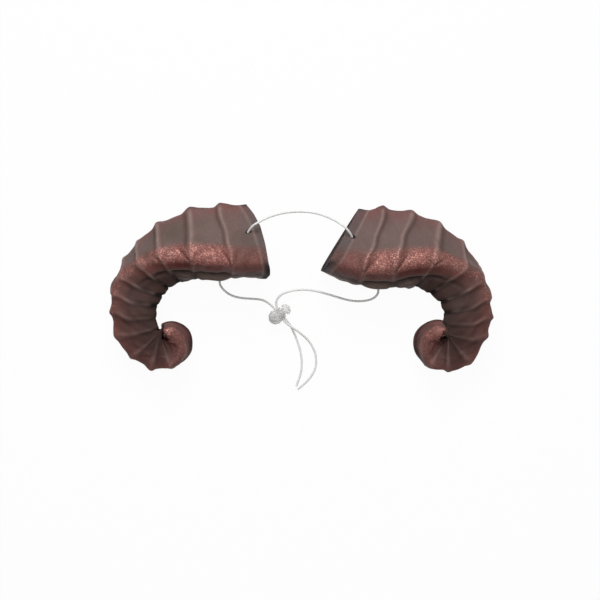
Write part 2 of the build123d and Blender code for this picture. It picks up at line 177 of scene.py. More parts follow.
class Finish(NodeMaker):
    """Base of the finishes: a material with its Principled shader and helpers to feed it."""

    def __init__(self, name: str):
        """Makes the material, its shader and its place coordinates."""
        self.material = bpy.data.materials.new(name)
        self.material.use_nodes = True
        self.tree = self.material.node_tree
        self.tree.nodes.clear()
        self.out = self.node("ShaderNodeOutputMaterial")
        self.shader = self.node("ShaderNodeBsdfPrincipled")
        self.link(self.shader.outputs["BSDF"], self.out.inputs["Surface"])
        self.place = self.node("ShaderNodeTexCoord").outputs["Object"]

    def effect(self, group: bpy.types.NodeTree, **values: float) -> bpy.types.Node:
        """Places a shared effect group fed with the object's own place.

        Args:
            group: the effect's node tree.
            **values: numbers for its inputs.

        Returns:
            The group node.
        """
        made = self.node("ShaderNodeGroup")
        made.node_tree = group
        self.link(self.place, made.inputs["Place"])
        for label, value in values.items():
            made.inputs[label].default_value = value
        return made

    def mask(self, label: str) -> bpy.types.NodeSocket:
        """Reads a mask that the mesh carries."""
        return self.node("ShaderNodeAttribute", attribute_name=label).outputs["Fac"]

    def remap(
        self, value: bpy.types.NodeSocket, low: float, high: float, to_low: float, to_high: float
    ) -> bpy.types.NodeSocket:
        """Stretches a value from one range to another, clamped."""
        made = self.node("ShaderNodeMapRange", clamp=True)
        self.link(value, made.inputs["Value"])
        ends = {"From Min": low, "From Max": high, "To Min": to_low, "To Max": to_high}
        for label, number in ends.items():
            made.inputs[label].default_value = number
        return made.outputs["Result"]

    def blend(
        self, factor: object, first: object, second: object, blend_type: str = "MIX"
    ) -> bpy.types.NodeSocket:
        """Mixes two colours; each is a socket or a colour.

        Args:
            factor: how much of the second colour shows, as a socket or a number.
            first: colour where the factor is 0.
            second: colour where the factor is 1.
            blend_type: the mixing mode.

        Returns:
            The mixed colour's socket.
        """
        made = self.node("ShaderNodeMix", data_type="RGBA", blend_type=blend_type)
        if isinstance(factor, float):
            made.inputs["Factor"].default_value = factor
        else:
            self.link(factor, made.inputs["Factor"])
        for place, colour in ((6, first), (7, second)):
            if isinstance(colour, tuple):
                made.inputs[place].default_value = (*colour, 1.0)
            else:
                self.link(colour, made.inputs[place])
        return made.outputs[2]

    def relief(self, height: bpy.types.NodeSocket, depth: float) -> None:
        """Feeds a height through a Bump node, its depth in metres, to the shader's normal."""
        bump = self.node("ShaderNodeBump")
        bump.inputs["Distance"].default_value = depth
        bump.inputs["Strength"].default_value = 1.0
        self.link(height, bump.inputs["Height"])
        self.link(bump.outputs["Normal"], self.shader.inputs["Normal"])


@dataclass(frozen=True)
class LatexFinish:
    """Dry-brushed matt latex: dark flanks, a mauve-grey face, a sparkling red keel and pale ridge lines, with
    painted shade in its recesses and painted highlights on its crests and lobes.
    """

    flank: Colour = (0.061, 0.030, 0.025)
    face: Colour = (0.165, 0.107, 0.098)
    dusk: Colour = (0.130, 0.091, 0.079)
    band: Colour = (0.285, 0.100, 0.085)
    # strip: painted shade on the lower part of the red band, which faces away from the light
    band_shadow_strip: Colour = (0.120, 0.029, 0.023)
    flush: Colour = (0.18, 0.070, 0.064)
    # ridge: pale dry-brushed paint on the crests, partly a painted highlight of the lit crests
    ridge: Colour = (0.32, 0.235, 0.21)
    # lip: paler paint on the lips and lobes, partly a painted highlight on the lobes' lit top rims
    lip: Colour = (0.20, 0.145, 0.125)
    # gap: near-black colour of the painted shade in grooves, notches, the cut's corners and the hole's mouths
    gap: Colour = (0.008, 0.005, 0.004)
    fleck: Colour = (0.68, 0.34, 0.28)
    # edge: dark colour of the cut's edge, and painted shade in its corners
    edge: Colour = (0.075, 0.060, 0.062)
    grain_depth: float = 0.00022  # metres
    specular: float = 0.24

    def worn(
        self, finish: Finish, label: str, mottle: bpy.types.NodeSocket, least: float
    ) -> bpy.types.NodeSocket:
        """A paint's mask, thinned in blotches down to its least share."""
        return finish.maths("MULTIPLY", finish.mask(label), finish.remap(mottle, 0.0, 1.0, least, 1.0))

    def build(self, grain: bpy.types.NodeTree, flecks: bpy.types.NodeTree) -> bpy.types.Material:
        """Makes the material from the masks that the horn's skin carries."""
        finish = Finish("brushed_latex")
        texture = finish.effect(grain, Fineness=1100.0, Blotch=75.0)
        powder = finish.effect(flecks, Fineness=1500.0, Share=0.62)
        mottle = finish.remap(texture.outputs["Mottle"], 0.32, 0.68, 0.0, 1.0)
        blotched = finish.effect(grain, Fineness=300.0, Blotch=28.0)
        dusky = finish.remap(blotched.outputs["Mottle"], 0.4, 0.62, 0.0, 1.0)
        colour = finish.blend(finish.mask("face"), self.flank, finish.blend(dusky, self.face, self.dusk))
        flushed = self.worn(finish, "flush", mottle, 0.45)
        colour = finish.blend(flushed, colour, self.flush)
        reddened = self.worn(finish, "band", mottle, 0.65)
        colour = finish.blend(reddened, colour, self.band)
        # Painted shade on the lower part of the red band.
        colour = finish.blend(finish.mask("band_shadow_strip"), colour, self.band_shadow_strip)
        # Paler lips and lobes, partly a painted highlight on the lobes' lit top rims.
        colour = finish.blend(finish.maths("MULTIPLY", finish.mask("lip"), 0.7), colour, self.lip)
        # Pale ridge crests: dry-brushed paint and partly a painted highlight.
        ridged = self.worn(finish, "ridge", mottle, 0.4)
        colour = finish.blend(ridged, colour, self.ridge)
        colour = finish.blend(finish.mask("edge"), colour, self.edge)
        sparkling = finish.maths("MULTIPLY", powder.outputs["Flecks"], finish.mask("sparkle"))
        colour = finish.blend(sparkling, colour, self.fleck)
        speckle = finish.remap(texture.outputs["Grain"], 0.3, 0.7, 0.82, 1.16)
        shaded = finish.blend(1.0, colour, speckle, "MULTIPLY")
        # Painted shade: recesses, notches, the cut's corners and the hole's mouths are darkened towards near
        # black.
        colour = finish.blend(finish.mask("painted_shade"), shaded, self.gap)
        finish.link(colour, finish.shader.inputs["Base Color"])
        glossed = finish.maths("MULTIPLY", finish.mask("band"), -0.16)
        rough = finish.maths("ADD", glossed, finish.remap(mottle, 0, 1, 0.55, 0.68))
        rough = finish.maths("ADD", rough, finish.maths("MULTIPLY", finish.mask("painted_shade"), 0.35))
        finish.link(rough, finish.shader.inputs["Roughness"])
        finish.link(finish.maths("MULTIPLY", sparkling, 0.7), finish.shader.inputs["Metallic"])
        finish.shader.inputs["Specular IOR Level"].default_value = self.specular
        finish.relief(texture.outputs["Grain"], self.grain_depth)
        return finish.material


@dataclass(frozen=True)
class FoamFinish:
    """Dark open-cell foam."""

    light: Colour = (0.085, 0.060, 0.055)
    dark: Colour = (0.03, 0.02, 0.018)

    def build(self, grain: bpy.types.NodeTree) -> bpy.types.Material:
        """Makes the material."""
        finish = Finish("dark_foam")
        texture = finish.effect(grain, Fineness=1600.0, Blotch=120.0)
        cells = finish.node("ShaderNodeTexVoronoi", feature="F1")
        finish.link(finish.place, cells.inputs["Vector"])
        cells.inputs["Scale"].default_value = 1300.0
        pores = finish.remap(cells.outputs["Distance"], 0.1, 0.6, 1.0, 0.0)
        colour = finish.blend(pores, self.light, self.dark)
        mottle = finish.remap(texture.outputs["Mottle"], 0.3, 0.7, 0.0, 0.6)
        finish.link(finish.blend(mottle, colour, self.light), finish.shader.inputs["Base Color"])
        finish.shader.inputs["Roughness"].default_value = 0.95
        finish.shader.inputs["Specular IOR Level"].default_value = 0.2
        finish.relief(finish.maths("SUBTRACT", texture.outputs["Grain"], pores), 0.0004)
        return finish.material


@dataclass(frozen=True)
class ElasticFinish:
    """Milky grey round elastic with a faint slanting wrap."""

    bright: Colour = (0.84, 0.84, 0.83)
    seam: Colour = (0.72, 0.72, 0.71)

    def build(self, grain: bpy.types.NodeTree) -> bpy.types.Material:
        """Makes the material."""
        finish = Finish("milky_elastic")
        texture = finish.effect(grain, Fineness=2200.0, Blotch=150.0)
        wrap = finish.node("ShaderNodeTexWave", wave_type="BANDS", bands_direction="DIAGONAL")
        finish.link(finish.place, wrap.inputs["Vector"])
        wrap.inputs["Scale"].default_value = 420.0
        wrap.inputs["Distortion"].default_value = 1.2
        line = finish.remap(wrap.outputs["Fac"], 0.0, 0.35, 0.2, 0.0)
        colour = finish.blend(line, self.bright, self.seam)
        soiled = finish.remap(texture.outputs["Mottle"], 0.4, 0.75, 0.0, 0.35)
        finish.link(finish.blend(soiled, colour, self.seam), finish.shader.inputs["Base Color"])
        finish.shader.inputs["Roughness"].default_value = 0.38
        finish.relief(wrap.outputs["Fac"], 0.00002)
        return finish.material


@dataclass(frozen=True)
class ClearFinish:
    """Clear moulded plastic, milky with wear."""

    tint: Colour = (0.95, 0.945, 0.93)
    cloudy: Colour = (0.82, 0.815, 0.80)
    transmission: float = 0.5
    ior: float = 1.46

    def build(self, grain: bpy.types.NodeTree) -> bpy.types.Material:
        """Makes the material."""
        finish = Finish("clear_moulding")
        texture = finish.effect(grain, Fineness=900.0, Blotch=220.0)
        cloud = finish.remap(texture.outputs["Mottle"], 0.35, 0.7, 0.0, 0.35)
        finish.link(finish.blend(cloud, self.tint, self.cloudy), finish.shader.inputs["Base Color"])
        rough = finish.remap(texture.outputs["Grain"], 0.3, 0.7, 0.08, 0.18)
        finish.link(rough, finish.shader.inputs["Roughness"])
        finish.shader.inputs["Transmission Weight"].default_value = self.transmission
        finish.shader.inputs["IOR"].default_value = self.ior
        return finish.material


@dataclass(frozen=True)
class SpringFinish:
    """Bright drawn wire."""

    tint: Colour = (0.42, 0.42, 0.43)
    dull: Colour = (0.2, 0.2, 0.21)

    def build(self, grain: bpy.types.NodeTree) -> bpy.types.Material:
        """Makes the material."""
        finish = Finish("spring_wire")
        texture = finish.effect(grain, Fineness=3000.0, Blotch=400.0)
        worn = finish.remap(texture.outputs["Mottle"], 0.35, 0.65, 0.0, 1.0)
        finish.link(finish.blend(worn, self.tint, self.dull), finish.shader.inputs["Base Color"])
        rough = finish.remap(texture.outputs["Grain"], 0.3, 0.7, 0.2, 0.42)
        finish.link(rough, finish.shader.inputs["Roughness"])
        finish.shader.inputs["Metallic"].default_value = 1.0
        return finish.material


# ---------------------------------------------------------------- helpers
def new_piece(name: str, data: bpy.types.ID) -> bpy.types.Object:
    """Links a new object with its data into the scene."""
    piece = bpy.data.objects.new(name, data)
    bpy.context.scene.collection.objects.link(piece)
    return piece


def ring_faces(rings: int, points: int) -> list[list[int]]:
    """Four-sided faces between neighbouring closed rings, whose points are numbered ring by ring."""
    numbers = np.arange(rings * points).reshape(rings, points)
    here, there = numbers[:-1], numbers[1:]
    corners = [here, np.roll(here, -1, 1), np.roll(there, -1, 1), there]
    return np.stack(corners, axis=-1).reshape(-1, 4).tolist()


def smooth_step(value: np.ndarray, low: float, high: float) -> np.ndarray:
    """A smooth rise from 0 at low to 1 at high; falls where low is above high."""
    part = np.clip((value - low) / (high - low), 0.0, 1.0)
    return part * part * (3.0 - 2.0 * part)


def zone(value: np.ndarray, rise: Span, fall: Span) -> np.ndarray:
    """1 between a rise and a fall and 0 outside them, each given from its first value to its last."""
    return smooth_step(value, *rise) * smooth_step(value, *fall)


def hump(value: np.ndarray, spread: float) -> np.ndarray:
    """A rounded hump of height 1 about 0."""
    return np.exp(-((value / spread) ** 2))


def turn_apart(angle: np.ndarray, other: np.ndarray) -> np.ndarray:
    """Signed difference of two angles in degrees, from -180 to 180."""
    return (angle - other + 180.0) % 360.0 - 180.0


# ---------------------------------------------------------------- horns
@dataclass(frozen=True)
class Station:
    """One place on a horn's centre line: its lie, its section's half sizes and its top edge's turn."""

    out: float
    y: float
    lift: float
    half_width: float
    half_thickness: float
    keel_turn: float


@dataclass(frozen=True)
class RibPattern:
    """Where a horn's ridges lie, how deep the hollows between them are and how each ridge leans.

    Each row of leans belongs to a ridge: its shift towards the tip at the outer side, on the face, on the
    top edge and on the flank below it.
    """

    first: float
    count: int = 14
    shrink: float = 0.935
    depth: float = 3.4
    tip_depth: float = 1.5
    bead: float = 0.4
    bead_spread: float = 1.6
    leans: tuple[tuple[float, ...], ...] = ((0.0, 0.0, 0.0, 0.0),)

    def crests(self, length: float) -> np.ndarray:
        """Runs of the ridges along a centre line of a length."""
        gap = (length - self.first) * (1 - self.shrink) / (1 - self.shrink**self.count)
        steps = gap * self.shrink ** np.arange(self.count - 1)
        return self.first + np.concatenate([[0.0], np.cumsum(steps)])


@dataclass(frozen=True)
class ReliefSizes:
    """Heights, places and spreads of the forms that stand on a skin beside its ridges.

    A place is a bend: degrees from the top edge, below 0 on the face and above 0 on the flank.
    """

    groove_depth: float = 6.0
    groove_bend: float = 44.0
    groove_spread: float = 6.5
    lip_height: float = 0.7
    lip_bend: float = 32.0
    lip_spread: float = 5.0
    lobe_height: float = 4.6
    lobe_bend: float = 65.0
    lobe_spread: float = 16.0
    notch_depth: float = 1.6
    notch_width: float = 2.4
    notch_bend: float = 72.0
    notch_spread: float = 20.0
    bump_height: float = 1.4
    innermost_spread: float = 34.0
    knob_spread: float = 42.0
    knob_share: float = 0.92
    outer_height: float = 0.6
    outer_width: float = 5.0
    outer_spread: float = 26.0
    crease_depth: float = 1.9
    crease_width: float = 1.0
    crease_slope: float = 0.26
    crease_start: float = 9.0
    dip_depth: float = 0.9
    dip_bend: float = -62.0
    dip_spread: float = 30.0
    mouth_calm: float = 10.0


# Zones of a skin. A pair of spans rises over the first and falls over the second, and a single span only
# rises or falls. Across the horn they are bends.
FACE_BENDS = ((-112.0, -98.0), (-12.0, -30.0))
FLANK_BENDS = ((14.0, 34.0), (116.0, 100.0))
BELOW_BENDS = ((38.0, 56.0), (178.0, 155.0))
CREASE_BENDS = ((-22.0, -8.0), (12.0, 4.0))
SHADE_BENDS = ((84.0, 112.0), (178.0, 160.0))
HAZE_BENDS = ((-95.0, -40.0), (70.0, 25.0))
TIP_HAZE_BENDS = (120.0, 40.0)
INWARD_BENDS = (62.0, 125.0)
# Along the horn they are shares of its length, or runs in millimetres where they say so.
THUMB_ALONG = (0.83, 0.89)
BASE_ALONG = (0.56, 0.30)
LOBE_ALONG = (0.46, 0.3)
CREASE_ALONG = (0.52, 0.36)
OUTER_ALONG = (0.8, 0.66)
BUMP_ALONG = ((0.24, 0.36), (0.68, 0.58))
SHADE_ALONG = ((0.18, 0.32), (0.68, 0.58))
INWARD_ALONG = ((0.3, 0.4), (0.8, 0.7))
HEAD_RUNS = (34.0, 64.0)
# Strength of the red paint and of the mauve face along the horn.
BAND_ALONG = ((0.0, 0.36, 0.5, 0.8, 0.86, 0.93, 1.0), (1.0, 0.95, 0.45, 0.3, 0.3, 0.45, 1.0))
FACE_ALONG = ((0.0, 0.45, 0.62, 1.0), (1.0, 0.85, 0.5, 0.25))


@dataclass(frozen=True)
class SkinPlaces:
    """Where the points of a skin's rings lie, and how far each of them belongs to its main zones.

    Values that change only along the horn are columns, those that change only round it are rows, and the
    rest are rings by points.
    """

    runs: np.ndarray  # along the centre line
    along: np.ndarray  # the same as a share of its length
    angles: np.ndarray  # round the ring
    bend: np.ndarray  # degrees from the top edge
    from_outer: np.ndarray  # degrees from the outer side
    share: np.ndarray  # of the way from one ridge to the next
    slant: np.ndarray  # distance from the nearest ridge, above 0 on its tip side
    middle: np.ndarray  # 1 halfway between two ridges
    thumb: np.ndarray  # 1 on the smooth end of the tip
    bead: np.ndarray  # 1 on a ridge's crest
    face: np.ndarray
    flank: np.ndarray
    below: np.ndarray
    base: np.ndarray  # 1 towards the head end, where groove and lip are full
    head: np.ndarray  # 0 at the head end and 1 past it
    innermost: np.ndarray  # 1 on the inner side
    past_first: np.ndarray  # 1 past the first ridge


@dataclass
class Horn:
    """One horn: a ribbed latex skin, cut at the head end, and the foam that fills it."""

    side: Side
    stations: tuple[Station, ...]
    ribs: RibPattern
    cut_point: Point
    cut_slant: float
    cut_lean: float
    mouths: tuple[Point, Point]
    keel_raise: float = 0.40
    keel_spread: float = 34.0
    keel_edge: float = 0.07
    keel_edge_spread: float = 11.0
    keel_apart: float = 118.0
    ring_points: int = 208
    ring_step: float = 1.1
    tip_rounding: float = 2.2
    wall: float = 1.8
    foam_inset: tuple[float, float] = (2.4, 11.0)
    foam_step: float = 3.0
    foam_points: int = 72
    foam_sunk: float = 1.2
    pivot_fill: tuple[float, ...] = (0.0,)
    pivot_lift: tuple[float, ...] = (0.0,)
    edge_bulge: tuple[tuple[float, float], ...] = ((0.0, 0.0),)
    bulge_reach: float = 14.0
    edge_line: float = 5.0
    corner_trim: float = 0.0
    steps: int = 24
    sizes: ReliefSizes = ReliefSizes()

    def __post_init__(self) -> None:
        """Measures the run along the centre line."""
        self.table = np.array([astuple(station) for station in self.stations])
        self.end = len(self.table) - 1
        self.places = np.linspace(0.0, self.end, self.end * self.steps + 1)
        gaps = np.linalg.norm(np.diff(self.centres(self.places), axis=0), axis=1)
        self.runs = np.concatenate([[0.0], np.cumsum(gaps)])
        self.length = float(self.runs[-1])

    def values(self, places: np.ndarray) -> np.ndarray:
        """All station values at places between the stations, on smooth curves through them."""
        first = np.clip(places.astype(int), 0, self.end - 1)
        part = (places - first)[:, None]
        a, b, c, d = (self.table[np.clip(first + k, 0, self.end)] for k in (-1, 0, 1, 2))
        curve = 2 * b + (c - a) * part + (2 * a - 5 * b + 4 * c - d) * part**2
        return 0.5 * (curve + (3 * b - a - 3 * c + d) * part**3)

    def centres(self, places: np.ndarray) -> np.ndarray:
        """Middles of the sections at places, in millimetres."""
        rows = self.values(places)
        return np.stack([self.side.value * rows[:, 0], rows[:, 1], rows[:, 2] + rows[:, 4]], axis=1)

    def axes(self, places: np.ndarray) -> tuple[np.ndarray, np.ndarray]:
        """Directions outwards from the curl and up across it, at places."""
        ahead, behind = np.minimum(places + 0.02, self.end), np.maximum(places - 0.02, 0.0)
        heading = self.centres(ahead) - self.centres(behind)
        heading /= np.linalg.norm(heading, axis=1, keepdims=True)
        flat = np.stack([-heading[:, 1], heading[:, 0], np.zeros(len(places))], axis=1) * self.side.value
        outwards = flat / np.linalg.norm(flat, axis=1, keepdims=True)
        return outwards, np.cross(heading * self.side.value, outwards)

    def ring_shape(
        self, rows: np.ndarray, angles: np.ndarray, inset: np.ndarray
    ) -> tuple[np.ndarray, np.ndarray]:
        """Sections with their three rounded keels.

        Args:
            rows: station values, one row for each ring.
            angles: the ring's angles in degrees.
            inset: how far the ring is drawn in, in millimetres.

        Returns:
            Distances outwards and up from the middle, rings by angles.
        """
        turn = rows[:, 5:6]
        radius = np.ones((len(rows), len(angles)))
        for k in (-1, 0, 1):
            gap = turn_apart(angles[None, :], turn + k * self.keel_apart)
            radius += self.keel_raise * hump(gap, self.keel_spread)
            radius += self.keel_edge * hump(gap, self.keel_edge_spread)
        u, v = radius * np.cos(np.radians(angles)), radius * np.sin(np.radians(angles))
        u = 2 * (u - u.min(1, keepdims=True)) / np.ptp(u, axis=1)[:, None] - 1
        v = 2 * (v - v.min(1, keepdims=True)) / np.ptp(v, axis=1)[:, None] - 1
        return u * (rows[:, 3:4] - inset), v * (rows[:, 4:5] - inset)

    def lean_at(self, runs: np.ndarray, bend: np.ndarray) -> np.ndarray:
        """How far the ridges lean towards the tip at each point of the rings, in millimetres."""
        crests = self.ribs.crests(self.length)
        table = np.array(self.ribs.leans)
        starts = crests[: len(table)]
        outer, face, top, flank = (np.interp(runs, starts, row)[:, None] for row in table.T)
        lean = outer + (face - outer) * smooth_step(bend, -100.0, -40.0)
        lean += (top - face) * smooth_step(bend, -45.0, 5.0)
        lean += (flank - top) * smooth_step(bend, 10.0, 50.0)
        return lean + (outer - flank) * smooth_step(bend, 110.0, 170.0)

    def segment_parts(self, runs: np.ndarray) -> tuple[np.ndarray, np.ndarray]:
        """For each run: share of the way between two ridges, and signed distance from the nearest ridge."""
        crests = self.ribs.crests(self.length)
        following = np.searchsorted(crests, runs)
        low = np.concatenate([[crests[0] - 38.0], crests])[following]
        high = np.concatenate([crests, [self.length + 6.0]])[following]
        share = np.clip((runs - low) / (high - low), 0.0, 1.0)
        slant = np.where(share < 0.5, runs - low, runs - high)
        return share, np.where(following == 0, runs - crests[0], slant)

    def skin_places(self, runs: np.ndarray, angles: np.ndarray, rows: np.ndarray) -> SkinPlaces:
        """Finds each point's place on the skin from runs, ring angles and station values."""
        along = (runs / self.length)[:, None]
        bend = turn_apart(angles[None, :], rows[:, 5:6])
        straight = runs[:, None] - self.lean_at(runs, bend)
        share, slant = self.segment_parts(straight)
        thumb = smooth_step(along, *THUMB_ALONG)
        return SkinPlaces(
            runs=runs[:, None],
            along=along,
            angles=angles[None, :],
            bend=bend,
            from_outer=bend + rows[:, 5:6],
            share=share,
            slant=slant,
            middle=np.sin(np.pi * share) ** 1.1,
            thumb=thumb,
            bead=hump(slant, self.ribs.bead_spread) * (1 - thumb),
            face=zone(bend, *FACE_BENDS),
            flank=zone(bend, *FLANK_BENDS),
            below=zone(bend, *BELOW_BENDS),
            base=smooth_step(along, *BASE_ALONG),
            head=smooth_step(runs, *HEAD_RUNS)[:, None],
            innermost=hump(turn_apart(angles[None, :], 180.0), self.sizes.innermost_spread),
            past_first=smooth_step(straight - self.ribs.first, -5.0, 3.0),
        )

    def forms(self, at: SkinPlaces) -> dict[str, np.ndarray]:
        """How far each point belongs to the forms that both the relief and the paint follow, from 0 to 1."""
        sizes = self.sizes
        groove = hump(at.bend - sizes.groove_bend, sizes.groove_spread)
        lobe = hump(at.bend - sizes.lobe_bend, sizes.lobe_spread) * at.middle**0.45
        low = np.maximum(hump(at.bend - sizes.notch_bend, sizes.notch_spread), at.innermost)
        fork = np.abs(at.slant) - sizes.crease_slope * (sizes.crease_start - at.bend)
        crease = hump(fork, sizes.crease_width) * zone(at.bend, *CREASE_BENDS)
        notch = hump(at.slant, sizes.notch_width) * low * smooth_step(at.along, *BUMP_ALONG[1])
        return {
            "groove": groove * (0.1 + 0.9 * at.middle) * at.base * at.head,
            "lip": hump(at.bend - sizes.lip_bend, sizes.lip_spread) * at.base * at.head,
            "lobe": lobe * smooth_step(at.along, *LOBE_ALONG),
            "notch": notch * at.head,
            "crease": crease * smooth_step(at.along, *CREASE_ALONG) * np.where(at.slant > 0, 1.0, 0.45),
        }

    def ridge_height(self, at: SkinPlaces) -> np.ndarray:
        """Height of the ridges and of the hollows between them, in millimetres."""
        ribs, sizes = self.ribs, self.sizes
        depth = (ribs.depth + (ribs.tip_depth - ribs.depth) * at.along) * (1 - 0.9 * at.thumb)
        drop = (1 - np.exp(-at.share / 0.10)) * (1 - at.share) ** 0.75 + 0.35 * np.sin(np.pi * at.share)
        knobs = hump(at.from_outer, sizes.knob_spread)
        near_ridge = smooth_step(np.minimum(at.share, 1 - at.share), 0.27, 0.02)
        drop = drop * (1 - sizes.knob_share * knobs * near_ridge)
        height = -depth * (drop / 1.05) * (1.0 - 0.55 * at.face - 0.25 * at.flank - 0.4 * at.below)
        height += ribs.bead * at.bead * (1 + 0.5 * at.face) * (1 - at.below)
        outer = hump(at.from_outer, sizes.outer_spread) * smooth_step(at.along, *OUTER_ALONG)
        return height + sizes.outer_height * hump(at.slant, sizes.outer_width) * outer * (1 - at.thumb)

    def hand_wander(self, at: SkinPlaces) -> np.ndarray:
        """Slow unevenness of the hand-laid latex, in millimetres."""
        wander = 0.35 * np.sin(at.runs * 0.21 + at.angles * 0.05 + self.side.value)
        wander += 0.25 * np.sin(at.runs * 0.53 - at.angles * 0.11) * np.sin(at.angles * 0.07)
        return wander * smooth_step(at.along, 1.0, 0.9)

    def heights(self, at: SkinPlaces, form: dict[str, np.ndarray]) -> np.ndarray:
        """Heights of the skin's relief over the plain section, in millimetres."""
        sizes = self.sizes
        bumps = at.innermost * at.middle**0.5 * zone(at.along, *BUMP_ALONG)
        height = self.ridge_height(at) + sizes.lip_height * form["lip"]
        height += sizes.lobe_height * form["lobe"] * (0.15 + 0.85 * at.head)
        height += sizes.bump_height * bumps - sizes.groove_depth * form["groove"]
        height -= sizes.notch_depth * form["notch"] + sizes.crease_depth * form["crease"]
        dip = hump(at.bend - sizes.dip_bend, sizes.dip_spread) * at.middle
        return height + self.hand_wander(at) - sizes.dip_depth * dip

    def painted_shade_places(self, at: SkinPlaces, form: dict[str, np.ndarray]) -> np.ndarray:
        """Mask of the painted shade in the grooves, creases and notches, on the tip side of the ridges, on
        the tip's outer rim and towards the inner side, which may pass 1.
        """
        # Painted shade along the inner side, deepest by the ridges.
        shade = zone(at.bend, *SHADE_BENDS) * (1.1 - at.middle) * zone(at.along, *SHADE_ALONG)
        # Painted shadow on the tip side of each ridge, on the face and the flank.
        rib_shadow = 0.34 * at.face + 0.3 * at.flank * (1 - at.base)
        rib_shadow = hump(at.slant - 2.9, 1.5) * rib_shadow * (1 - at.thumb)
        # Painted shade on the tip's outer rim.
        tip_rim_shade = 0.7 * at.thumb * hump(at.from_outer, 18.0)
        # Painted shade growing towards the inner side of the arm.
        inward = 0.4 * smooth_step(at.bend, *INWARD_BENDS) * zone(at.along, *INWARD_ALONG)
        # Painted shade in the groove under the top edge and in the creases, plus the inner-side shade.
        recess_shade = np.clip(form["groove"] * 1.7 - 0.35, 0, 1) + 0.6 * form["crease"] + 0.75 * shade
        return recess_shade + 0.7 * form["notch"] + rib_shadow + tip_rim_shade + inward

    def reddish(self, at: SkinPlaces) -> np.ndarray:
        """Mask of the dull red that hazes over the ridges and the tip."""
        haze = 0.75 * zone(at.bend, *HAZE_BENDS) * np.clip(0.6 - at.middle, 0, 1)
        haze = haze * smooth_step(at.along, 0.22, 0.4)
        tip_haze = 0.42 * smooth_step(at.along, 0.56, 0.68) * smooth_step(at.bend, *TIP_HAZE_BENDS)
        haze = haze + tip_haze * (1 - 0.6 * at.thumb)
        outer = hump(at.bend + 106.0, 20.0) * 0.9
        return np.clip(outer + 0.2 * (1 - at.middle) * at.face + 0.3 * at.thumb + haze, 0, 1)

    def band_strength(self, at: SkinPlaces) -> np.ndarray:
        """How strong the red of the top edge is, patchy along the arm."""
        strength = np.interp(at.along, *BAND_ALONG) * (0.55 + 0.45 * at.past_first)
        patchy = np.sin(at.runs * 0.31 + 2.0 * self.side.value) * np.sin(at.bend * 0.09 + at.runs * 0.13)
        return strength * np.clip(1 + 0.5 * patchy * smooth_step(at.along, 0.35, 0.5), 0, 1)

    def paint_masks(self, at: SkinPlaces, form: dict[str, np.ndarray]) -> dict[str, np.ndarray]:
        """Masks for the paints and for the painted shade and highlights, by the names that the latex finish
        reads.
        """
        wider = 26.0 * at.thumb
        soft = 14.0 * smooth_step(at.along, 0.34, 0.5)
        band = smooth_step(at.bend, -32.0 - wider, -15.0 - wider)
        band = band * smooth_step(at.bend, 30.0 + wider + soft, 22.0 + wider - soft)
        strength = self.band_strength(at)
        upper = smooth_step(at.bend, 15.0 + wider, 5.0 + wider)
        glitter = upper * (0.35 + 0.5 * at.past_first + 0.5 * at.bead)
        # Painted shade on the lower part of the band, near the head end.
        band_shadow_strip = (1 - upper) * 1.1 * smooth_step(at.along, 0.56, 0.36)
        calm = 1 - 0.5 * smooth_step(at.along, 0.5, 0.66)
        # Pale crests: dry-brushed paint and partly a painted highlight.
        ridge = 0.75 * at.face + 0.6 * at.flank * (1 - at.base * 0.4) + 0.3 * band
        # Painted highlight on the lobes' lit top rims, just below the groove.
        lobe_rim_highlight = 0.5 * hump(at.bend - 55.0, 4.0) * at.middle * at.base * at.head
        return {
            "band": band * strength,
            "sparkle": np.clip(band * strength * glitter, 0, 1),
            "band_shadow_strip": np.clip(band * strength * band_shadow_strip, 0, 1),
            "face": at.face * np.interp(at.along, *FACE_ALONG) * (0.86 + 0.14 * at.past_first),
            "flush": self.reddish(at),
            "ridge": at.bead * np.clip(ridge, 0, 1) * calm,
            "lip": np.clip(form["lip"] + form["lobe"] + lobe_rim_highlight, 0, 1) * (1 - form["crease"]),
            "painted_shade": self.painted_shade_places(at, form),
        }

    def inside_cut(self, grid: np.ndarray) -> np.ndarray:
        """How far points in millimetres lie inside the head end's cut."""
        point, normal = self.cut_plane()
        return (np.array(point) / MM - grid) @ np.array(normal)

    def skin_draw(self, inside: np.ndarray, rows: np.ndarray) -> np.ndarray:
        """The skin's rings are drawn in nowhere."""
        return np.zeros((len(rows), 1))

    def foam_draw(self, inside: np.ndarray, rows: np.ndarray) -> np.ndarray:
        """How far the foam's rings lie inside the skin: close at the cut, deeper where no one sees it."""
        near, deep = self.foam_inset
        return np.minimum(near + (deep - near) * smooth_step(inside, 1.0, 13.0), 0.5 * rows[:, 4:5])

    def hole_shade_mask(self, grid: np.ndarray) -> np.ndarray:
        """Painted shade: 1 in the dark mouths of the elastic's hole and 0 elsewhere."""
        upper, lower = (np.array(mouth) for mouth in self.mouths)
        bore = (upper - lower) / np.linalg.norm(upper - lower)
        worn = upper + np.array((self.side.value * 0.9, 0.0, 0.0))
        sideways = np.linalg.norm(np.cross(grid - worn, bore), axis=-1)
        return smooth_step(sideways, 2.1, 1.5)

    def close_to_table(self, grid: np.ndarray) -> None:
        """Presses points that lie below the table's surface flat onto it."""
        floor, give = 0.12, 0.02
        low = np.minimum(grid[..., 2] - floor, 0.0)
        grid[..., 2] = np.where(grid[..., 2] < floor, floor + give * low, grid[..., 2])

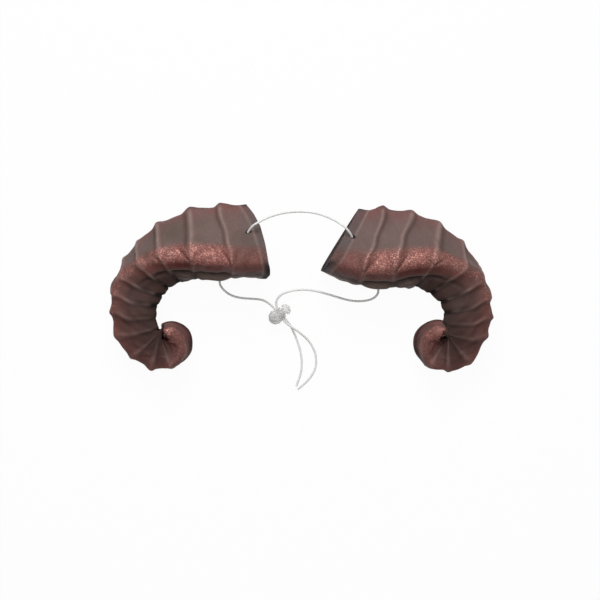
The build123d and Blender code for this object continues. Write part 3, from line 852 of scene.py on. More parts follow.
    def mark_cut_edge(
        self, grid: np.ndarray, inside: np.ndarray, across: np.ndarray, masks: dict[str, np.ndarray]
    ) -> None:
        """Adds the dark paint of the cut's edge, the painted shade of its corners and of the hole's mouths to
        the masks.

        Args:
            grid: points in millimetres.
            inside: how far they lie inside the cut.
            across: their distance outwards, as a share of the half width.
            masks: masks by name, which this changes.
        """
        rim = smooth_step(inside, self.edge_line + 0.6, self.edge_line - 1.0)
        line = hump(inside - self.edge_line - 0.9, 0.9)
        # Painted shade in the cut's corners, put in both the edge mask and the shade mask.
        corners = np.maximum(smooth_step(-across, 0.45, 0.8), smooth_step(across, 0.9, 0.98))
        corners = corners * smooth_step(inside, 7.0, 2.0)
        masks["edge"] = np.clip(0.45 * rim + corners, 0, 1)
        masks["ridge"] = np.clip(masks["ridge"] + 0.55 * line, 0, 1)
        masks["painted_shade"] = np.maximum(masks["painted_shade"], 0.8 * corners)
        # Painted shade in the hole's mouths.
        masks["painted_shade"] = np.maximum(masks["painted_shade"], self.hole_shade_mask(grid))

    def ring_grid(
        self, inset: Inset, step: float, points: int, with_relief: bool
    ) -> tuple[np.ndarray, dict[str, np.ndarray]]:
        """Points of all rings in metres, and their masks.

        Args:
            inset: gives how far the rings are drawn in, in millimetres, from the way to the cut and the rows.
            step: distance between rings along the centre line.
            points: points in each ring.
            with_relief: whether ridges, gaps and lobes are raised.

        Returns:
            An array of rings by points by three, and masks of rings by points.
        """
        runs = np.linspace(0.0, self.length, int(self.length / step) + 1)
        places = np.interp(runs, self.runs, self.places)
        rows = self.values(places)
        angles = np.arange(points) * 360.0 / points
        outwards, upwards = (axis[:, None, :] for axis in self.axes(places))
        middles = self.centres(places)[:, None, :]
        u, v = self.ring_shape(rows, angles, np.zeros((len(rows), 1)))
        inside = self.inside_cut(middles + u[..., None] * outwards + v[..., None] * upwards)
        u, v = self.ring_shape(rows, angles, inset(inside, rows))
        masks: dict[str, np.ndarray] = {}
        if with_relief:
            at = self.skin_places(runs, angles, rows)
            form = self.forms(at)
            masks = self.paint_masks(at, form)
            height = self.heights(at, form) * (0.3 + 0.7 * smooth_step(inside, -1.0, 11.0))
            plain = middles + u[..., None] * outwards + v[..., None] * upwards
            to_mouth = np.linalg.norm(plain - np.array(self.mouths[0]), axis=-1)
            height = height * (1 - hump(to_mouth, self.sizes.mouth_calm))
            du, dv = (np.roll(a, -1, 1) - np.roll(a, 1, 1) for a in (u, v))
            size = np.hypot(du, dv)
            u, v = u + height * dv / size, v - height * du / size
        closing = np.clip((runs - self.length + self.tip_rounding) / self.tip_rounding, 0.0, 1.0)
        close = np.sqrt(np.maximum(1.0 - closing**2, 0.0004))[:, None]
        from_place = np.arange(self.end + 1 - len(self.pivot_fill), self.end + 1)
        fill = np.interp(places, from_place, self.pivot_fill)[:, None]
        lift = np.interp(places, from_place, self.pivot_lift)[:, None]
        inwards = np.maximum(-u, 0.0) / rows[:, 3:4]
        u = u * (1 + fill * inwards)
        v = v + lift * rows[:, 4:5] * inwards**2
        grid = middles + (u * close)[..., None] * outwards + (v * close)[..., None] * upwards
        self.close_to_table(grid)
        inner = smooth_step(-u / rows[:, 3:4], 0.35, 1.0)
        trim = self.corner_trim * smooth_step(inside, 20.0, -2.0) * inner
        grid = grid + trim[..., None] * outwards
        if with_relief:
            self.mark_cut_edge(grid, inside, u / rows[:, 3:4], masks)
        return grid * MM, masks

    def cut_plane(self) -> tuple[Vector, Vector]:
        """A point on the head end's cut and its outward normal, in metres."""
        slant, lean = math.radians(self.cut_slant), math.radians(self.cut_lean)
        level = math.cos(lean)
        normal = Vector((math.cos(slant) * level, math.sin(slant) * level, math.sin(lean)))
        return Vector(self.cut_point) * MM, normal

    def shell(self, name: str, grid: np.ndarray, masks: dict[str, np.ndarray]) -> bmesh.types.BMesh:
        """Joins the rings into a surface, closed at the tip and cut flat at the head end."""
        rings, points = grid.shape[:2]
        mesh = bpy.data.meshes.new(name)
        tip = [list(range((rings - 1) * points, rings * points))]
        mesh.from_pydata(grid.reshape(-1, 3).tolist(), [], ring_faces(rings, points) + tip)
        for label, mask in masks.items():
            layer = mesh.attributes.new(label, "FLOAT", "POINT")
            layer.data.foreach_set("value", np.clip(mask, 0.0, 1.0).astype(np.float32).ravel())
        form = bmesh.new()
        form.from_mesh(mesh)
        bpy.data.meshes.remove(mesh)
        point, normal = self.cut_plane()
        everything = form.verts[:] + form.edges[:] + form.faces[:]
        bmesh.ops.bisect_plane(
            form, geom=everything, dist=1e-6, plane_co=point, plane_no=normal, clear_outer=True
        )
        along_cut = normal.cross(Vector((0, 0, 1))).normalized() * self.side.value
        where, bulge = zip(*self.edge_bulge)
        for vert in form.verts:
            inside = (point - vert.co).dot(normal) / MM
            if inside < self.bulge_reach:
                rise = float(np.interp((vert.co - point).dot(along_cut) / MM, where, bulge))
                vert.co += normal * rise * MM * (1.0 - inside / self.bulge_reach)
        bmesh.ops.recalc_face_normals(form, faces=form.faces[:])
        return form

    def finish_mesh(self, name: str, form: bmesh.types.BMesh) -> bpy.types.Object:
        """Turns a form into a smooth piece that rides on the horn's body."""
        mesh = bpy.data.meshes.new(name)
        form.to_mesh(mesh)
        form.free()
        mesh.shade_smooth()
        piece = new_piece(name, mesh)
        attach(piece, f"{self.side.word}_horn")
        return piece

    def add_rim(self, form: bmesh.types.BMesh) -> None:
        """Folds the skin's cut edge in by its wall and a little back into the horn."""
        _, normal = self.cut_plane()
        edges = [e for e in form.edges if e.is_boundary]
        middle = sum((e.verts[0].co for e in edges), Vector()) / len(edges)
        for inward, back in ((0.25, -0.25), (self.wall - 0.5, 0.0), (0.25, 0.3), (0.1, 2.2)):
            made = bmesh.ops.extrude_edge_only(form, edges=edges)["geom"]
            for vert in (g for g in made if isinstance(g, bmesh.types.BMVert)):
                toward = (middle - vert.co).normalized()
                vert.co += (toward * inward - normal * back) * MM
            edges = [g for g in made if isinstance(g, bmesh.types.BMEdge)]

    def build_skin(self, material: bpy.types.Material) -> bpy.types.Object:
        """Models the latex skin in place of its plain solid."""
        grid, masks = self.ring_grid(self.skin_draw, self.ring_step, self.ring_points, with_relief=True)
        form = self.shell(f"{self.side.word}_skin", grid, masks)
        self.add_rim(form)
        piece = self.finish_mesh(f"{self.side.word}_skin", form)
        piece.data.materials.append(material)
        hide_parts(f"{self.side.word}_horn_skin")
        return piece

    def build_foam(self, material: bpy.types.Material) -> bpy.types.Object:
        """Models the foam core with its cut face a little sunk behind the rim."""
        grid, masks = self.ring_grid(self.foam_draw, self.foam_step, self.foam_points, with_relief=False)
        form = self.shell(f"{self.side.word}_foam", grid, masks)
        _, normal = self.cut_plane()
        edges = [e for e in form.edges if e.is_boundary]
        middle = sum((e.verts[0].co for e in edges), Vector()) / len(edges)
        for shrink in (0.92, 0.75, 0.75, 0.75):
            made = bmesh.ops.extrude_edge_only(form, edges=edges)["geom"]
            for vert in (g for g in made if isinstance(g, bmesh.types.BMVert)):
                vert.co = middle + (vert.co - middle) * shrink
                vert.co -= normal * 0.25 * MM * math.sin(vert.co.z * 900 + vert.co.y * 500)
            edges = [g for g in made if isinstance(g, bmesh.types.BMEdge)]
        bmesh.ops.holes_fill(form, edges=form.edges[:])
        bmesh.ops.translate(form, verts=form.verts[:], vec=-normal * self.foam_sunk * MM)
        bmesh.ops.recalc_face_normals(form, faces=form.faces[:])
        piece = self.finish_mesh(f"{self.side.word}_foam", form)
        piece.data.materials.append(material)
        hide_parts(f"{self.side.word}_foam_core")
        return piece


def station_rows(rows: tuple[tuple[float, ...], ...]) -> tuple[Station, ...]:
    """Names the values of a horn's stations."""
    return tuple(Station(*row) for row in rows)


# ---------------------------------------------------------------- elastic cord
@dataclass
class CordStretch:
    """A free stretch of the elastic: its route and how it lies."""

    name: str
    route: tuple[Point, ...]
    length: float
    far_end: str
    replaces: str
    stiffness: str = "limp"
    lay: str = "loose"
    diameter: float = 2.0

    def build(self, material: bpy.types.Material, with_pieces: list[bpy.types.Object]) -> bpy.types.Object:
        """Lays the stretch as one smooth line with the cord's thickness.

        Args:
            material: the elastic's finish.
            with_pieces: pieces that sit on this stretch; not used.

        Returns:
            The curve piece.
        """
        curve = bpy.data.curves.new(self.name, "CURVE")
        curve.dimensions = "3D"
        spline = curve.splines.new("NURBS")
        spline.points.add(len(self.route) - 1)
        for knot, point in zip(spline.points, self.route):
            knot.co = (*(value * MM for value in point), 1.0)
        spline.order_u = 3
        spline.use_endpoint_u = True
        spline.resolution_u = 10
        curve.bevel_depth = self.diameter / 2 * MM
        curve.bevel_resolution = 6
        curve.use_fill_caps = True
        curve.materials.append(material)
        piece = new_piece(self.name, curve)
        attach(piece, "cord")
        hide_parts(self.replaces)
        return piece


# ---------------------------------------------------------------- cord lock
@dataclass
class CordLock:
    """The sprung two-ball cord lock, cut in facets, lying at the place of its plain solids."""

    centre: Point = (-19.5, -23.0, 6.8)
    angle: float = 38.0
    barrel_centre: float = -5.1
    barrel_radius: float = 6.8
    collar_radius: float = 5.2
    collar_end: float = 3.4
    head_start: float = 5.1
    head_centre: float = 5.9
    head_radius: float = 5.3
    travel: float = 1.6
    stem_radius: float = 3.2
    socket_radius: float = 3.26
    socket_end: float = -10.0
    stem_end: float = -5.35
    window_half: float = 2.15
    window_height: float = 2.2
    coil_turns: float = 4.0
    coil_wire: float = 0.45
    coil_radius: float = 2.685
    coil_ends: tuple[float, float] = (-9.735, -5.615)
    window_length: float = 40.0
    window_rounding: float = 0.9
    edge_break: float = 0.12
    round_sides: int = 40

    def axis(self) -> Vector:
        """Direction from the barrel to the button."""
        return Vector((math.cos(math.radians(self.angle)), math.sin(math.radians(self.angle)), 0.0))

    def turned(
        self, name: str, outline: list[tuple[float, float]], sides: int, twist: float
    ) -> bmesh.types.BMesh:
        """A form with flat facets about the lock's axis.

        Args:
            name: what it is called in the log.
            outline: pairs of place along the axis and radius, in millimetres.
            sides: facets round the axis.
            twist: turn of every second ring, as a share of a facet.

        Returns:
            The closed form at the lock's place, in metres.
        """
        form = bmesh.new()
        along, across, up = self.axis(), Vector((0, 0, 1)).cross(self.axis()), Vector((0, 0, 1))
        centre = Vector(self.centre)
        rings = []
        for row, (place, radius) in enumerate(outline):
            ring = []
            for k in range(sides):
                turn = 2 * math.pi * (k + twist * (row % 2)) / sides
                spoke = across * math.cos(turn) + up * math.sin(turn)
                ring.append(form.verts.new((centre + along * place + spoke * radius) * MM))
            rings.append(ring)
        for low, high in zip(rings, rings[1:]):
            for k in range(sides):
                here, following = k, (k + 1) % sides
                form.faces.new((low[here], low[following], high[following], high[here]))
        form.faces.new(list(reversed(rings[0])))
        form.faces.new(rings[-1])
        if twist:
            bmesh.ops.triangulate(form, faces=[f for f in form.faces if len(f.verts) == 4])
        bmesh.ops.recalc_face_normals(form, faces=form.faces[:])
        LOG.debug("%s has %d faces", name, len(form.faces))
        return form

    def as_piece(self, name: str, form: bmesh.types.BMesh) -> bpy.types.Object:
        """Turns a form into an object."""
        mesh = bpy.data.meshes.new(name)
        form.to_mesh(mesh)
        form.free()
        return new_piece(name, mesh)

    def apply_steps(self, piece: bpy.types.Object) -> None:
        """Puts the outcome of a piece's modifiers in place of its mesh."""
        graph = bpy.context.evaluated_depsgraph_get()
        result = bpy.data.meshes.new_from_object(piece.evaluated_get(graph))
        piece.modifiers.clear()
        piece.data = result

    def combined(self, piece: bpy.types.Object, other: bpy.types.Object, operation: str) -> None:
        """Joins or cuts one piece with another and drops the other."""
        step = piece.modifiers.new(operation.lower(), "BOOLEAN")
        step.operation = operation
        step.solver = "EXACT"
        step.object = other
        self.apply_steps(piece)
        bpy.data.objects.remove(other)

    def ball(self, centre: float, radius: float, facets: Facets) -> list[tuple[float, float]]:
        """Outline of a ball cut in facets."""
        rows = facets.value[1]
        turns = [math.pi * (k + 0.35) / (rows - 0.3) for k in range(rows)]
        flattened, widened, least = 0.985, 1.03, 0.6
        return [
            (centre - radius * math.cos(turn) * flattened, max(radius * math.sin(turn) * widened, least))
            for turn in turns
        ]

    def window(self, travel: float) -> bpy.types.Object:
        """The slot for both strands, longer by a travel towards the button, as a form to cut with."""
        form = bmesh.new()
        bmesh.ops.create_cube(form, size=1.0)
        along, up = self.axis(), Vector((0, 0, 1))
        strands = along.cross(up)
        centre = Vector(self.centre)
        for vert in form.verts:
            local = vert.co.copy()
            spot = along * (local.x * (2 * self.window_half + travel) + travel / 2)
            spot += up * local.z * self.window_height
            vert.co = (centre + spot + strands * local.y * self.window_length) * MM
        runs = [(edge, (edge.verts[0].co - edge.verts[1].co).normalized()) for edge in form.edges]
        edges = [edge for edge, heading in runs if abs(heading.dot(strands)) > 0.99]
        bmesh.ops.bevel(form, geom=edges, offset=self.window_rounding * MM, segments=4, affect="EDGES")
        bmesh.ops.recalc_face_normals(form, faces=form.faces[:])
        return self.as_piece("strand_window", form)

    def soften(self, piece: bpy.types.Object) -> None:
        """Breaks the sharp edges between facets."""
        step = piece.modifiers.new("edges", "BEVEL")
        step.width = self.edge_break * MM
        step.segments = 2
        step.limit_method = "ANGLE"
        step.angle_limit = math.radians(14.0)
        self.apply_steps(piece)

    def build_barrel(self, material: bpy.types.Material) -> bpy.types.Object:
        """Models the faceted barrel with its collar, socket and window."""
        start = self.barrel_centre - self.barrel_radius
        sides = Facets.COARSE.value[0]
        ball = self.ball(self.barrel_centre, self.barrel_radius, Facets.COARSE)
        barrel = self.as_piece("lock_barrel", self.turned("barrel", ball, sides, 0.5))
        outline = [(start + 2.0, 3.6), (-3.0, 4.9), (-2.6, self.collar_radius)]
        outline += [(2.9, self.collar_radius), (self.collar_end, 4.8)]
        collar = self.turned("collar", outline, 12, 0.0)
        self.combined(barrel, self.as_piece("collar", collar), "UNION")
        outline = [(place, self.socket_radius) for place in (self.socket_end, self.collar_end + 2.0)]
        socket = self.turned("socket", outline, self.round_sides, 0.0)
        self.combined(barrel, self.as_piece("socket", socket), "DIFFERENCE")
        self.combined(barrel, self.window(0.0), "DIFFERENCE")
        self.soften(barrel)
        return self.dressed(barrel, material, "cord", "cord_lock_barrel")

    def build_plunger(self, material: bpy.types.Material) -> bpy.types.Object:
        """Models the faceted button with its stem and window."""
        flat_radius = math.sqrt(self.head_radius**2 - (self.head_centre - self.head_start) ** 2)
        ball = self.ball(self.head_centre, self.head_radius, Facets.FINE)
        ball = [(self.head_start, flat_radius)] + [row for row in ball if row[0] > self.head_start + 0.5]
        plunger = self.as_piece("lock_plunger", self.turned("button", ball, Facets.FINE.value[0], 0.5))
        outline = [(self.stem_end, self.stem_radius - 0.3), (self.stem_end + 0.3, self.stem_radius)]
        outline += [(self.head_centre, self.stem_radius)]
        stem = self.turned("stem", outline, self.round_sides, 0.0)
        self.combined(plunger, self.as_piece("stem", stem), "UNION")
        self.combined(plunger, self.window(self.travel), "DIFFERENCE")
        self.soften(plunger)
        return self.dressed(plunger, material, "plunger", "cord_lock_plunger")

    def build_spring(self, material: bpy.types.Material) -> bpy.types.Object:
        """Winds the coil, at rest, between the socket's floor and the stem; the real coil shortens as the
        button goes down.
        """
        start, end = self.coil_ends
        turns = np.linspace(0.0, 2 * math.pi * self.coil_turns, int(self.coil_turns * 28) + 1)
        around = np.linspace(0.0, 2 * math.pi, 10, endpoint=False)
        rise = (end - start) / turns[-1]
        spread = self.coil_radius + self.coil_wire / 2 * np.cos(around)[None, :]
        along = start + rise * turns[:, None] + self.coil_wire / 2 * np.sin(around)[None, :]
        axis, up = self.axis(), Vector((0, 0, 1))
        across = up.cross(axis)
        turn = turns[:, None]
        local = np.stack([along, spread * np.cos(turn), spread * np.sin(turn)], axis=-1)
        grid = (np.array(self.centre) + local @ np.array((axis, across, up))) * MM
        rings, points = grid.shape[:2]
        mesh = bpy.data.meshes.new("lock_spring")
        caps = [list(range(points))[::-1], list(range((rings - 1) * points, rings * points))]
        mesh.from_pydata(grid.reshape(-1, 3).tolist(), [], ring_faces(rings, points) + caps)
        form = bmesh.new()
        form.from_mesh(mesh)
        bmesh.ops.recalc_face_normals(form, faces=form.faces[:])
        form.to_mesh(mesh)
        form.free()
        mesh.shade_smooth()
        piece = new_piece("lock_spring", mesh)
        piece.data.materials.append(material)
        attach(piece, "cord")
        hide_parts("cord_lock_spring")
        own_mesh(piece)
        return piece

    def dressed(
        self, piece: bpy.types.Object, material: bpy.types.Material, body: str, node: str
    ) -> bpy.types.Object:
        """Gives a lock piece its finish, body and plain solid."""
        piece.data.materials.clear()
        piece.data.materials.append(material)
        piece.data.shade_flat()
        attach(piece, body)
        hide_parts(node)
        return piece


# ---------------------------------------------------------------- studio
@dataclass
class Studio:
    """White table, soft lamps and the camera straight above."""

    aim: Point = (-1.35, -10.35, 0.0)
    height: float = 1500.0
    reference_height: float = 22.0
    view_width: float = 540.0
    sensor: float = 36.0

    def build_floor(self) -> bpy.types.Object:
        """Lays the white table, which keeps the object's shadow."""
        form = bmesh.new()
        bmesh.ops.create_grid(form, x_segments=8, y_segments=8, size=3.0)
        for vert in form.verts:
            vert.co.z = -0.0002
        mesh = bpy.data.meshes.new("table")
        form.to_mesh(mesh)
        form.free()
        floor = new_piece("table", mesh)
        finish = Finish("white_table")
        finish.tree.nodes.remove(finish.shader)
        plain = finish.node("ShaderNodeBsdfDiffuse")
        plain.inputs["Color"].default_value = (0.86, 0.86, 0.86, 1.0)
        glow = finish.node("ShaderNodeEmission")
        glow.inputs["Color"].default_value = (1.0, 1.0, 1.0, 1.0)
        rays = finish.node("ShaderNodeLightPath")
        seen = finish.maths("MAXIMUM", rays.outputs["Is Camera Ray"], rays.outputs["Is Glossy Ray"])
        seen = finish.maths("MAXIMUM", seen, rays.outputs["Is Transmission Ray"])
        mixed = finish.node("ShaderNodeMixShader")
        finish.link(finish.maths("MULTIPLY", seen, 0.955), mixed.inputs[0])
        finish.link(plain.outputs[0], mixed.inputs[1])
        finish.link(glow.outputs[0], mixed.inputs[2])
        finish.link(mixed.outputs[0], finish.out.inputs["Surface"])
        floor.data.materials.append(finish.material)
        return floor

    def add_lamp(self, name: str, place: Point, aim: Point, size: float, watts: float) -> None:
        """Hangs a square soft lamp aimed at a point; places in metres."""
        data = bpy.data.lights.new(name, "AREA")
        data.size = size
        data.energy = watts
        lamp = new_piece(name, data)
        lamp.location = place
        lamp.rotation_euler = (Vector(aim) - Vector(place)).to_track_quat("-Z", "Y").to_euler()

    def build_light(self) -> None:
        """Sets a broad key lamp beyond the head ends, a soft top lamp and a pale surround."""
        self.add_lamp("key", (-0.10, 0.95, 0.90), (0, 0, 0), 0.7, 12.0)
        self.add_lamp("top", (0.1, 0.0, 1.7), (0, 0, 0), 1.2, 8.5)
        world = bpy.data.worlds.new("surround")
        bpy.context.scene.world = world
        world.use_nodes = True
        tree = world.node_tree
        base = tree.nodes["Background"]
        base.inputs["Color"].default_value = (1.0, 1.0, 1.0, 1.0)
        base.inputs["Strength"].default_value = 0.2
        seen = tree.nodes.new("ShaderNodeBackground")
        seen.inputs["Color"].default_value = (1.0, 1.0, 1.0, 1.0)
        rays = tree.nodes.new("ShaderNodeLightPath")
        mixed = tree.nodes.new("ShaderNodeMixShader")
        tree.links.new(rays.outputs["Is Camera Ray"], mixed.inputs[0])
        tree.links.new(base.outputs[0], mixed.inputs[1])
        tree.links.new(seen.outputs[0], mixed.inputs[2])
        tree.links.new(mixed.outputs[0], tree.nodes["World Output"].inputs["Surface"])

    def build_camera(self) -> None:
        """Hangs the camera straight above the pair, its top edge towards the head ends."""
        data = bpy.data.cameras.new("camera")
        data.sensor_width = self.sensor
        data.lens = self.sensor * self.height / self.view_width
        camera = new_piece("camera", data)
        camera.location = Vector((self.aim[0], self.aim[1], self.height + self.reference_height)) * MM
        bpy.context.scene.camera = camera

    def build(self) -> None:
        """Sets up floor, light and camera."""
        self.build_camera()
        self.build_floor()
        self.build_light()
        bpy.context.scene.view_settings.view_transform = "Standard"


# ---------------------------------------------------------------- the pair's own sizes, in millimetres
# Each row: distance from the middle of the pair, y, lift off the table, half width, half thickness, and
# the turn of the top edge from the outer side in degrees.
LEFT_ROWS = (
    (14.0, 42.7, 0.0, 34.0, 24.5, 116.0),
    (34.0, 42.7, 0.0, 34.0, 24.5, 116.0),
    (54.0, 42.9, 0.0, 33.8, 24.5, 115.0),
    (73.0, 42.6, 0.0, 33.9, 24.0, 113.0),
    (92.0, 41.0, 0.0, 32.9, 23.0, 109.0),
    (110.0, 36.2, 0.0, 31.0, 21.5, 102.0),
    (126.5, 27.7, 0.0, 27.9, 20.0, 92.0),
    (140.0, 14.3, 0.0, 25.2, 18.5, 76.0),
    (147.8, -1.2, 0.0, 23.0, 17.4, 55.0),
    (150.8, -17.0, 0.0, 21.6, 16.6, 36.0),
    (150.4, -32.0, 0.0, 20.2, 15.6, 22.0),
    (147.4, -44.6, 0.2, 18.4, 14.8, 16.0),
    (141.0, -53.7, 0.4, 15.6, 14.0, 12.0),
    (135.1, -57.6, 0.8, 14.6, 13.6, 12.0),
    (129.7, -59.8, 1.6, 14.8, 13.2, 14.0),
    (122.8, -60.8, 3.0, 12.8, 12.6, 32.0),
    (115.7, -58.6, 5.0, 12.1, 12.0, 56.0),
    (110.7, -53.1, 8.0, 11.6, 11.2, 78.0),
    (108.9, -46.0, 11.5, 10.6, 10.2, 95.0),
    (110.9, -40.1, 15.5, 8.8, 9.0, 106.0),
    (115.4, -36.4, 19.5, 7.2, 7.6, 112.0),
    (120.6, -36.0, 22.6, 6.4, 6.4, 116.0),
    (125.0, -37.4, 24.6, 5.4, 5.4, 118.0),
)
RIGHT_ROWS = (
    (6.0, 44.0, 0.0, 32.0, 24.5, 116.0),
    (24.0, 42.0, 0.0, 33.0, 24.5, 116.0),
    (44.0, 39.6, 0.0, 34.4, 24.5, 115.0),
    (64.0, 37.4, 0.0, 36.4, 24.5, 113.0),
    (83.0, 36.6, 0.0, 36.6, 24.0, 110.0),
    (101.0, 34.0, 0.0, 34.6, 22.6, 104.0),
    (118.5, 27.6, 0.0, 31.4, 21.0, 95.0),
    (133.5, 15.2, 0.0, 27.4, 19.4, 80.0),
    (144.6, -1.0, 0.0, 23.8, 17.8, 57.0),
    (149.8, -17.0, 0.0, 21.8, 16.8, 36.0),
    (150.6, -32.0, 0.0, 20.6, 15.8, 22.0),
    (149.4, -45.6, 0.2, 16.4, 14.8, 16.0),
    (144.7, -55.0, 0.4, 14.8, 14.0, 12.0),
    (136.6, -60.6, 1.0, 15.0, 13.6, 12.0),
    (127.4, -61.6, 2.2, 13.4, 13.0, 32.0),
    (119.0, -59.2, 4.4, 12.6, 12.4, 56.0),
    (113.5, -53.0, 7.8, 11.6, 11.6, 78.0),
    (112.0, -45.4, 11.5, 10.4, 10.4, 95.0),
    (114.9, -38.9, 15.5, 9.0, 9.2, 106.0),
    (120.4, -35.5, 19.5, 7.6, 7.8, 112.0),
    (126.0, -35.2, 22.6, 6.8, 6.6, 116.0),
    (130.4, -37.0, 24.6, 5.8, 5.6, 118.0),
)
LEFT_MOUTHS = ((-46.9, 50.8, 41.6), (-72.6, 11.4, 8.6))
RIGHT_MOUTHS = ((44.2, 46.9, 41.8), (68.5, 2.6, 8.2))
BRIDGE_ROUTE = (
    (-39.6, 57.6, 46.6),
    (-31.0, 62.6, 43.4),
    (-18.0, 67.2, 36.0),
    (-2.0, 69.2, 31.0),
    (13.5, 67.6, 32.0),
    (27.0, 62.2, 39.0),
    (36.4, 56.0, 45.6),
)
LEFT_LEG_ROUTE = (
    (-74.6, 3.6, 4.0),
    (-70.4, -2.0, 3.0),
    (-63.6, -6.6, 2.0),
    (-54.5, -8.8, 1.6),
    (-44.5, -9.2, 2.6),
    (-34.6, -10.2, 5.2),
)
LEFT_TAIL_ROUTE = (
    (-9.0, -35.0, 7.0),
    (-2.0, -39.6, 5.0),
    (5.0, -45.6, 2.0),
    (10.6, -53.0, 1.1),
    (13.6, -62.5, 1.1),
    (13.2, -72.0, 1.1),
    (9.0, -80.0, 1.1),
    (3.2, -86.6, 1.1),
    (-3.7, -91.9, 1.1),
)
RIGHT_LEG_ROUTE = (
    (70.0, -3.9, 4.0),
    (67.6, -7.6, 3.2),
    (62.4, -10.4, 2.4),
    (54.0, -11.6, 1.4),
    (46.0, -11.2, 1.1),
    (38.0, -9.4, 1.1),
    (26.0, -5.6, 1.1),
    (14.0, -2.2, 1.3),
    (3.0, -0.6, 2.2),
    (-8.0, -1.6, 3.8),
    (-17.0, -4.2, 5.8),
    (-22.6, -9.4, 6.8),
)
RIGHT_TAIL_ROUTE = (
    (-9.9, -33.6, 3.6),
    (-7.2, -39.5, 1.3),
    (-3.8, -47.5, 1.1),
    (-0.8, -57.0, 1.1),
    (0.5, -68.0, 1.1),
    (-0.6, -79.0, 1.1),
    (-4.9, -89.0, 1.1),
)
# Each ridge's shift towards the tip at the outer side, on the face, on the top edge and on the flank.
LEFT_LEANS = (
    (0.0, -6.0, -11.0, -10.0),
    (0.0, 0.5, 4.0, 6.5),
    (4.5, 7.5, 11.0, 12.0),
    (0.0, 6.0, 12.5, 14.0),
    (-7.5, -4.0, 8.0, 9.0),
    (-8.0, -9.0, 1.0, 5.0),
    (-4.5, -5.0, -4.0, 2.0),
    (-1.0, -1.0, -1.0, 0.0),
    (0.0, 0.0, 0.0, 0.0),
)
RIGHT_LEANS = (
    (1.0, -7.0, -14.0, -15.0),
    (0.0, -6.5, -7.5, -5.0),
    (-1.5, 0.0, 3.5, 3.5),
    (-5.0, 3.0, 11.0, 9.0),
    (-7.0, -3.0, 8.0, 8.0),
    (-9.0, -9.0, 1.0, 5.0),
    (-5.0, -5.0, -4.0, 2.0),
    (-4.0, -4.0, -3.0, 0.0),
    (0.0, 0.0, 0.0, 0.0),
)
# Widening of the inner side from the curl's pivot to the tip, station by station, and its rise there.
PIVOT_FILL = (0.0, 0.05, 0.2, 0.55, 0.75, 1.0, 1.25, 1.3, 1.25, 1.15, 1.05, 0.85, 0.6, 0.3)
PIVOT_LIFT = (0.0, 0.1, 0.3, 0.6, 0.8, 0.8, 0.7, 0.4, 0.0, -0.3, -0.4, -0.3, 0.0, 0.0)
# Where along the cut, from its middle towards the outer side, its edge stands out and by how much.
LEFT_BULGE = ((-32.0, -1.4), (-22.0, -1.6), (-5.0, 1.2), (12.0, 3.2), (24.0, 2.0), (33.0, 0.0))
RIGHT_BULGE = ((-30.0, 0.0), (-5.0, -0.8), (15.0, -1.6), (35.0, -2.4))
UPPER_RUN = 6.0
LOWER_RUN = 3.6
STRAND_OFFSET = 1.05
LEFT_LOCK_RUN = (-11.0, 9.0)
RIGHT_LOCK_RUN = (-7.5, 8.0)


def beyond(mouths: tuple[Point, Point], run: float) -> Point:
    """A point on a hole's line past its first mouth, away from the second."""
    first, second = Vector(mouths[0]), Vector(mouths[1])
    return tuple(first + (first - second).normalized() * run)


def strand_points(lock: CordLock, offset: float, ends: tuple[float, float]) -> tuple[Point, ...]:
    """The two ends and the middle of a strand's straight run through the lock."""
    strands = lock.axis().cross(Vector((0, 0, 1)))
    middle = Vector(lock.centre) + lock.axis() * offset
    return tuple(tuple(middle + strands * run) for run in (ends[0], 0.0, ends[1]))


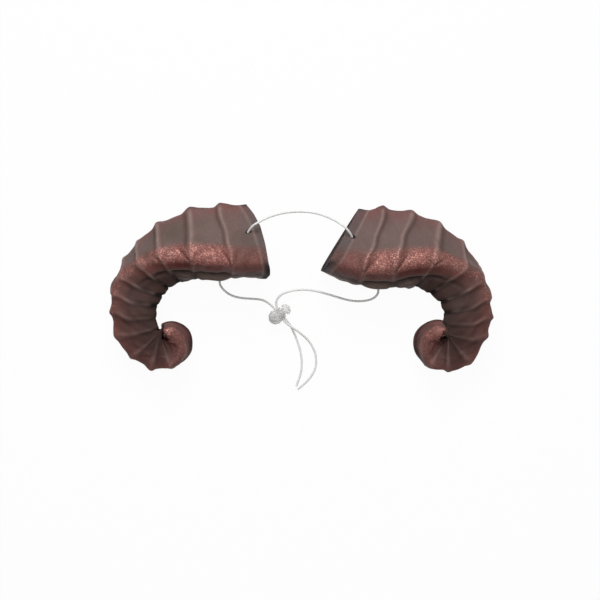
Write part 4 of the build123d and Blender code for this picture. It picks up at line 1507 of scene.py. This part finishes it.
def cord_stretches(lock: CordLock) -> tuple[CordStretch, ...]:
    """The three free stretches of the elastic with their routes."""
    left_down, right_down = LEFT_MOUTHS[::-1], RIGHT_MOUTHS[::-1]
    bridge = (LEFT_MOUTHS[0], beyond(LEFT_MOUTHS, UPPER_RUN), *BRIDGE_ROUTE)
    bridge += (beyond(RIGHT_MOUTHS, UPPER_RUN), RIGHT_MOUTHS[0])
    left = (left_down[0], beyond(left_down, LOWER_RUN), *LEFT_LEG_ROUTE)
    left += (*strand_points(lock, -STRAND_OFFSET, LEFT_LOCK_RUN), *LEFT_TAIL_ROUTE)
    right = (right_down[0], beyond(right_down, LOWER_RUN), *RIGHT_LEG_ROUTE)
    right += (*strand_points(lock, STRAND_OFFSET, RIGHT_LOCK_RUN), *RIGHT_TAIL_ROUTE)
    return (
        CordStretch("elastic_bridge", bridge, 111.2, "object", "cord_bridge"),
        CordStretch("elastic_left_leg", left, 163.1, "bare", "cord_left_leg"),
        CordStretch("elastic_right_leg", right, 194.5, "bare", "cord_right_leg"),
    )


def dress_node(name: str, material: bpy.types.Material) -> None:
    """Gives a carried-over solid its finish."""
    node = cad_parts[name]
    node.data.materials.clear()
    node.data.materials.append(material)


def main() -> None:
    """Builds the pair piece by piece and logs the elastic's stretches and the skins' face counts."""
    logging.basicConfig(level=logging.INFO, format="%(name)s: %(message)s")
    studio = Studio()
    studio.build()
    grain, flecks = grain_effect(), fleck_effect()
    elastic = ElasticFinish().build(grain)
    clear = ClearFinish().build(grain)
    lock = CordLock()
    lock_pieces = [lock.build_barrel(clear), lock.build_plunger(clear)]
    lock_pieces.append(lock.build_spring(SpringFinish().build(grain)))
    for held in ("cord_in_left_horn", "cord_in_right_horn"):
        dress_node(held, elastic)
    for stretch in cord_stretches(lock):
        on_it = lock_pieces if stretch.name == "elastic_left_leg" else []
        piece = stretch.build(elastic, on_it)
        LOG.info("%s laid", piece.name)
    latex = LatexFinish().build(grain, flecks)
    foam = FoamFinish().build(grain)
    horns = (
        Horn(
            Side.LEFT,
            station_rows(LEFT_ROWS),
            RibPattern(58.0, leans=LEFT_LEANS),
            cut_point=(-39.2, 42.4, 24.5),
            cut_slant=17.2,
            cut_lean=-12.0,
            mouths=LEFT_MOUTHS,
            pivot_fill=PIVOT_FILL,
            pivot_lift=PIVOT_LIFT,
            edge_bulge=LEFT_BULGE,
            edge_line=5.0,
        ),
        Horn(
            Side.RIGHT,
            station_rows(RIGHT_ROWS),
            RibPattern(66.0, leans=RIGHT_LEANS),
            cut_point=(34.0, 44.0, 24.5),
            cut_slant=151.4,
            cut_lean=4.0,
            mouths=RIGHT_MOUTHS,
            pivot_fill=PIVOT_FILL,
            pivot_lift=PIVOT_LIFT,
            edge_bulge=RIGHT_BULGE,
            edge_line=8.0,
            corner_trim=6.5,
        ),
    )
    for horn in horns:
        skin = horn.build_skin(latex)
        horn.build_foam(foam)
        LOG.info("%s has %d faces", skin.name, len(skin.data.polygons))


if __name__ == "__main__":
    main()
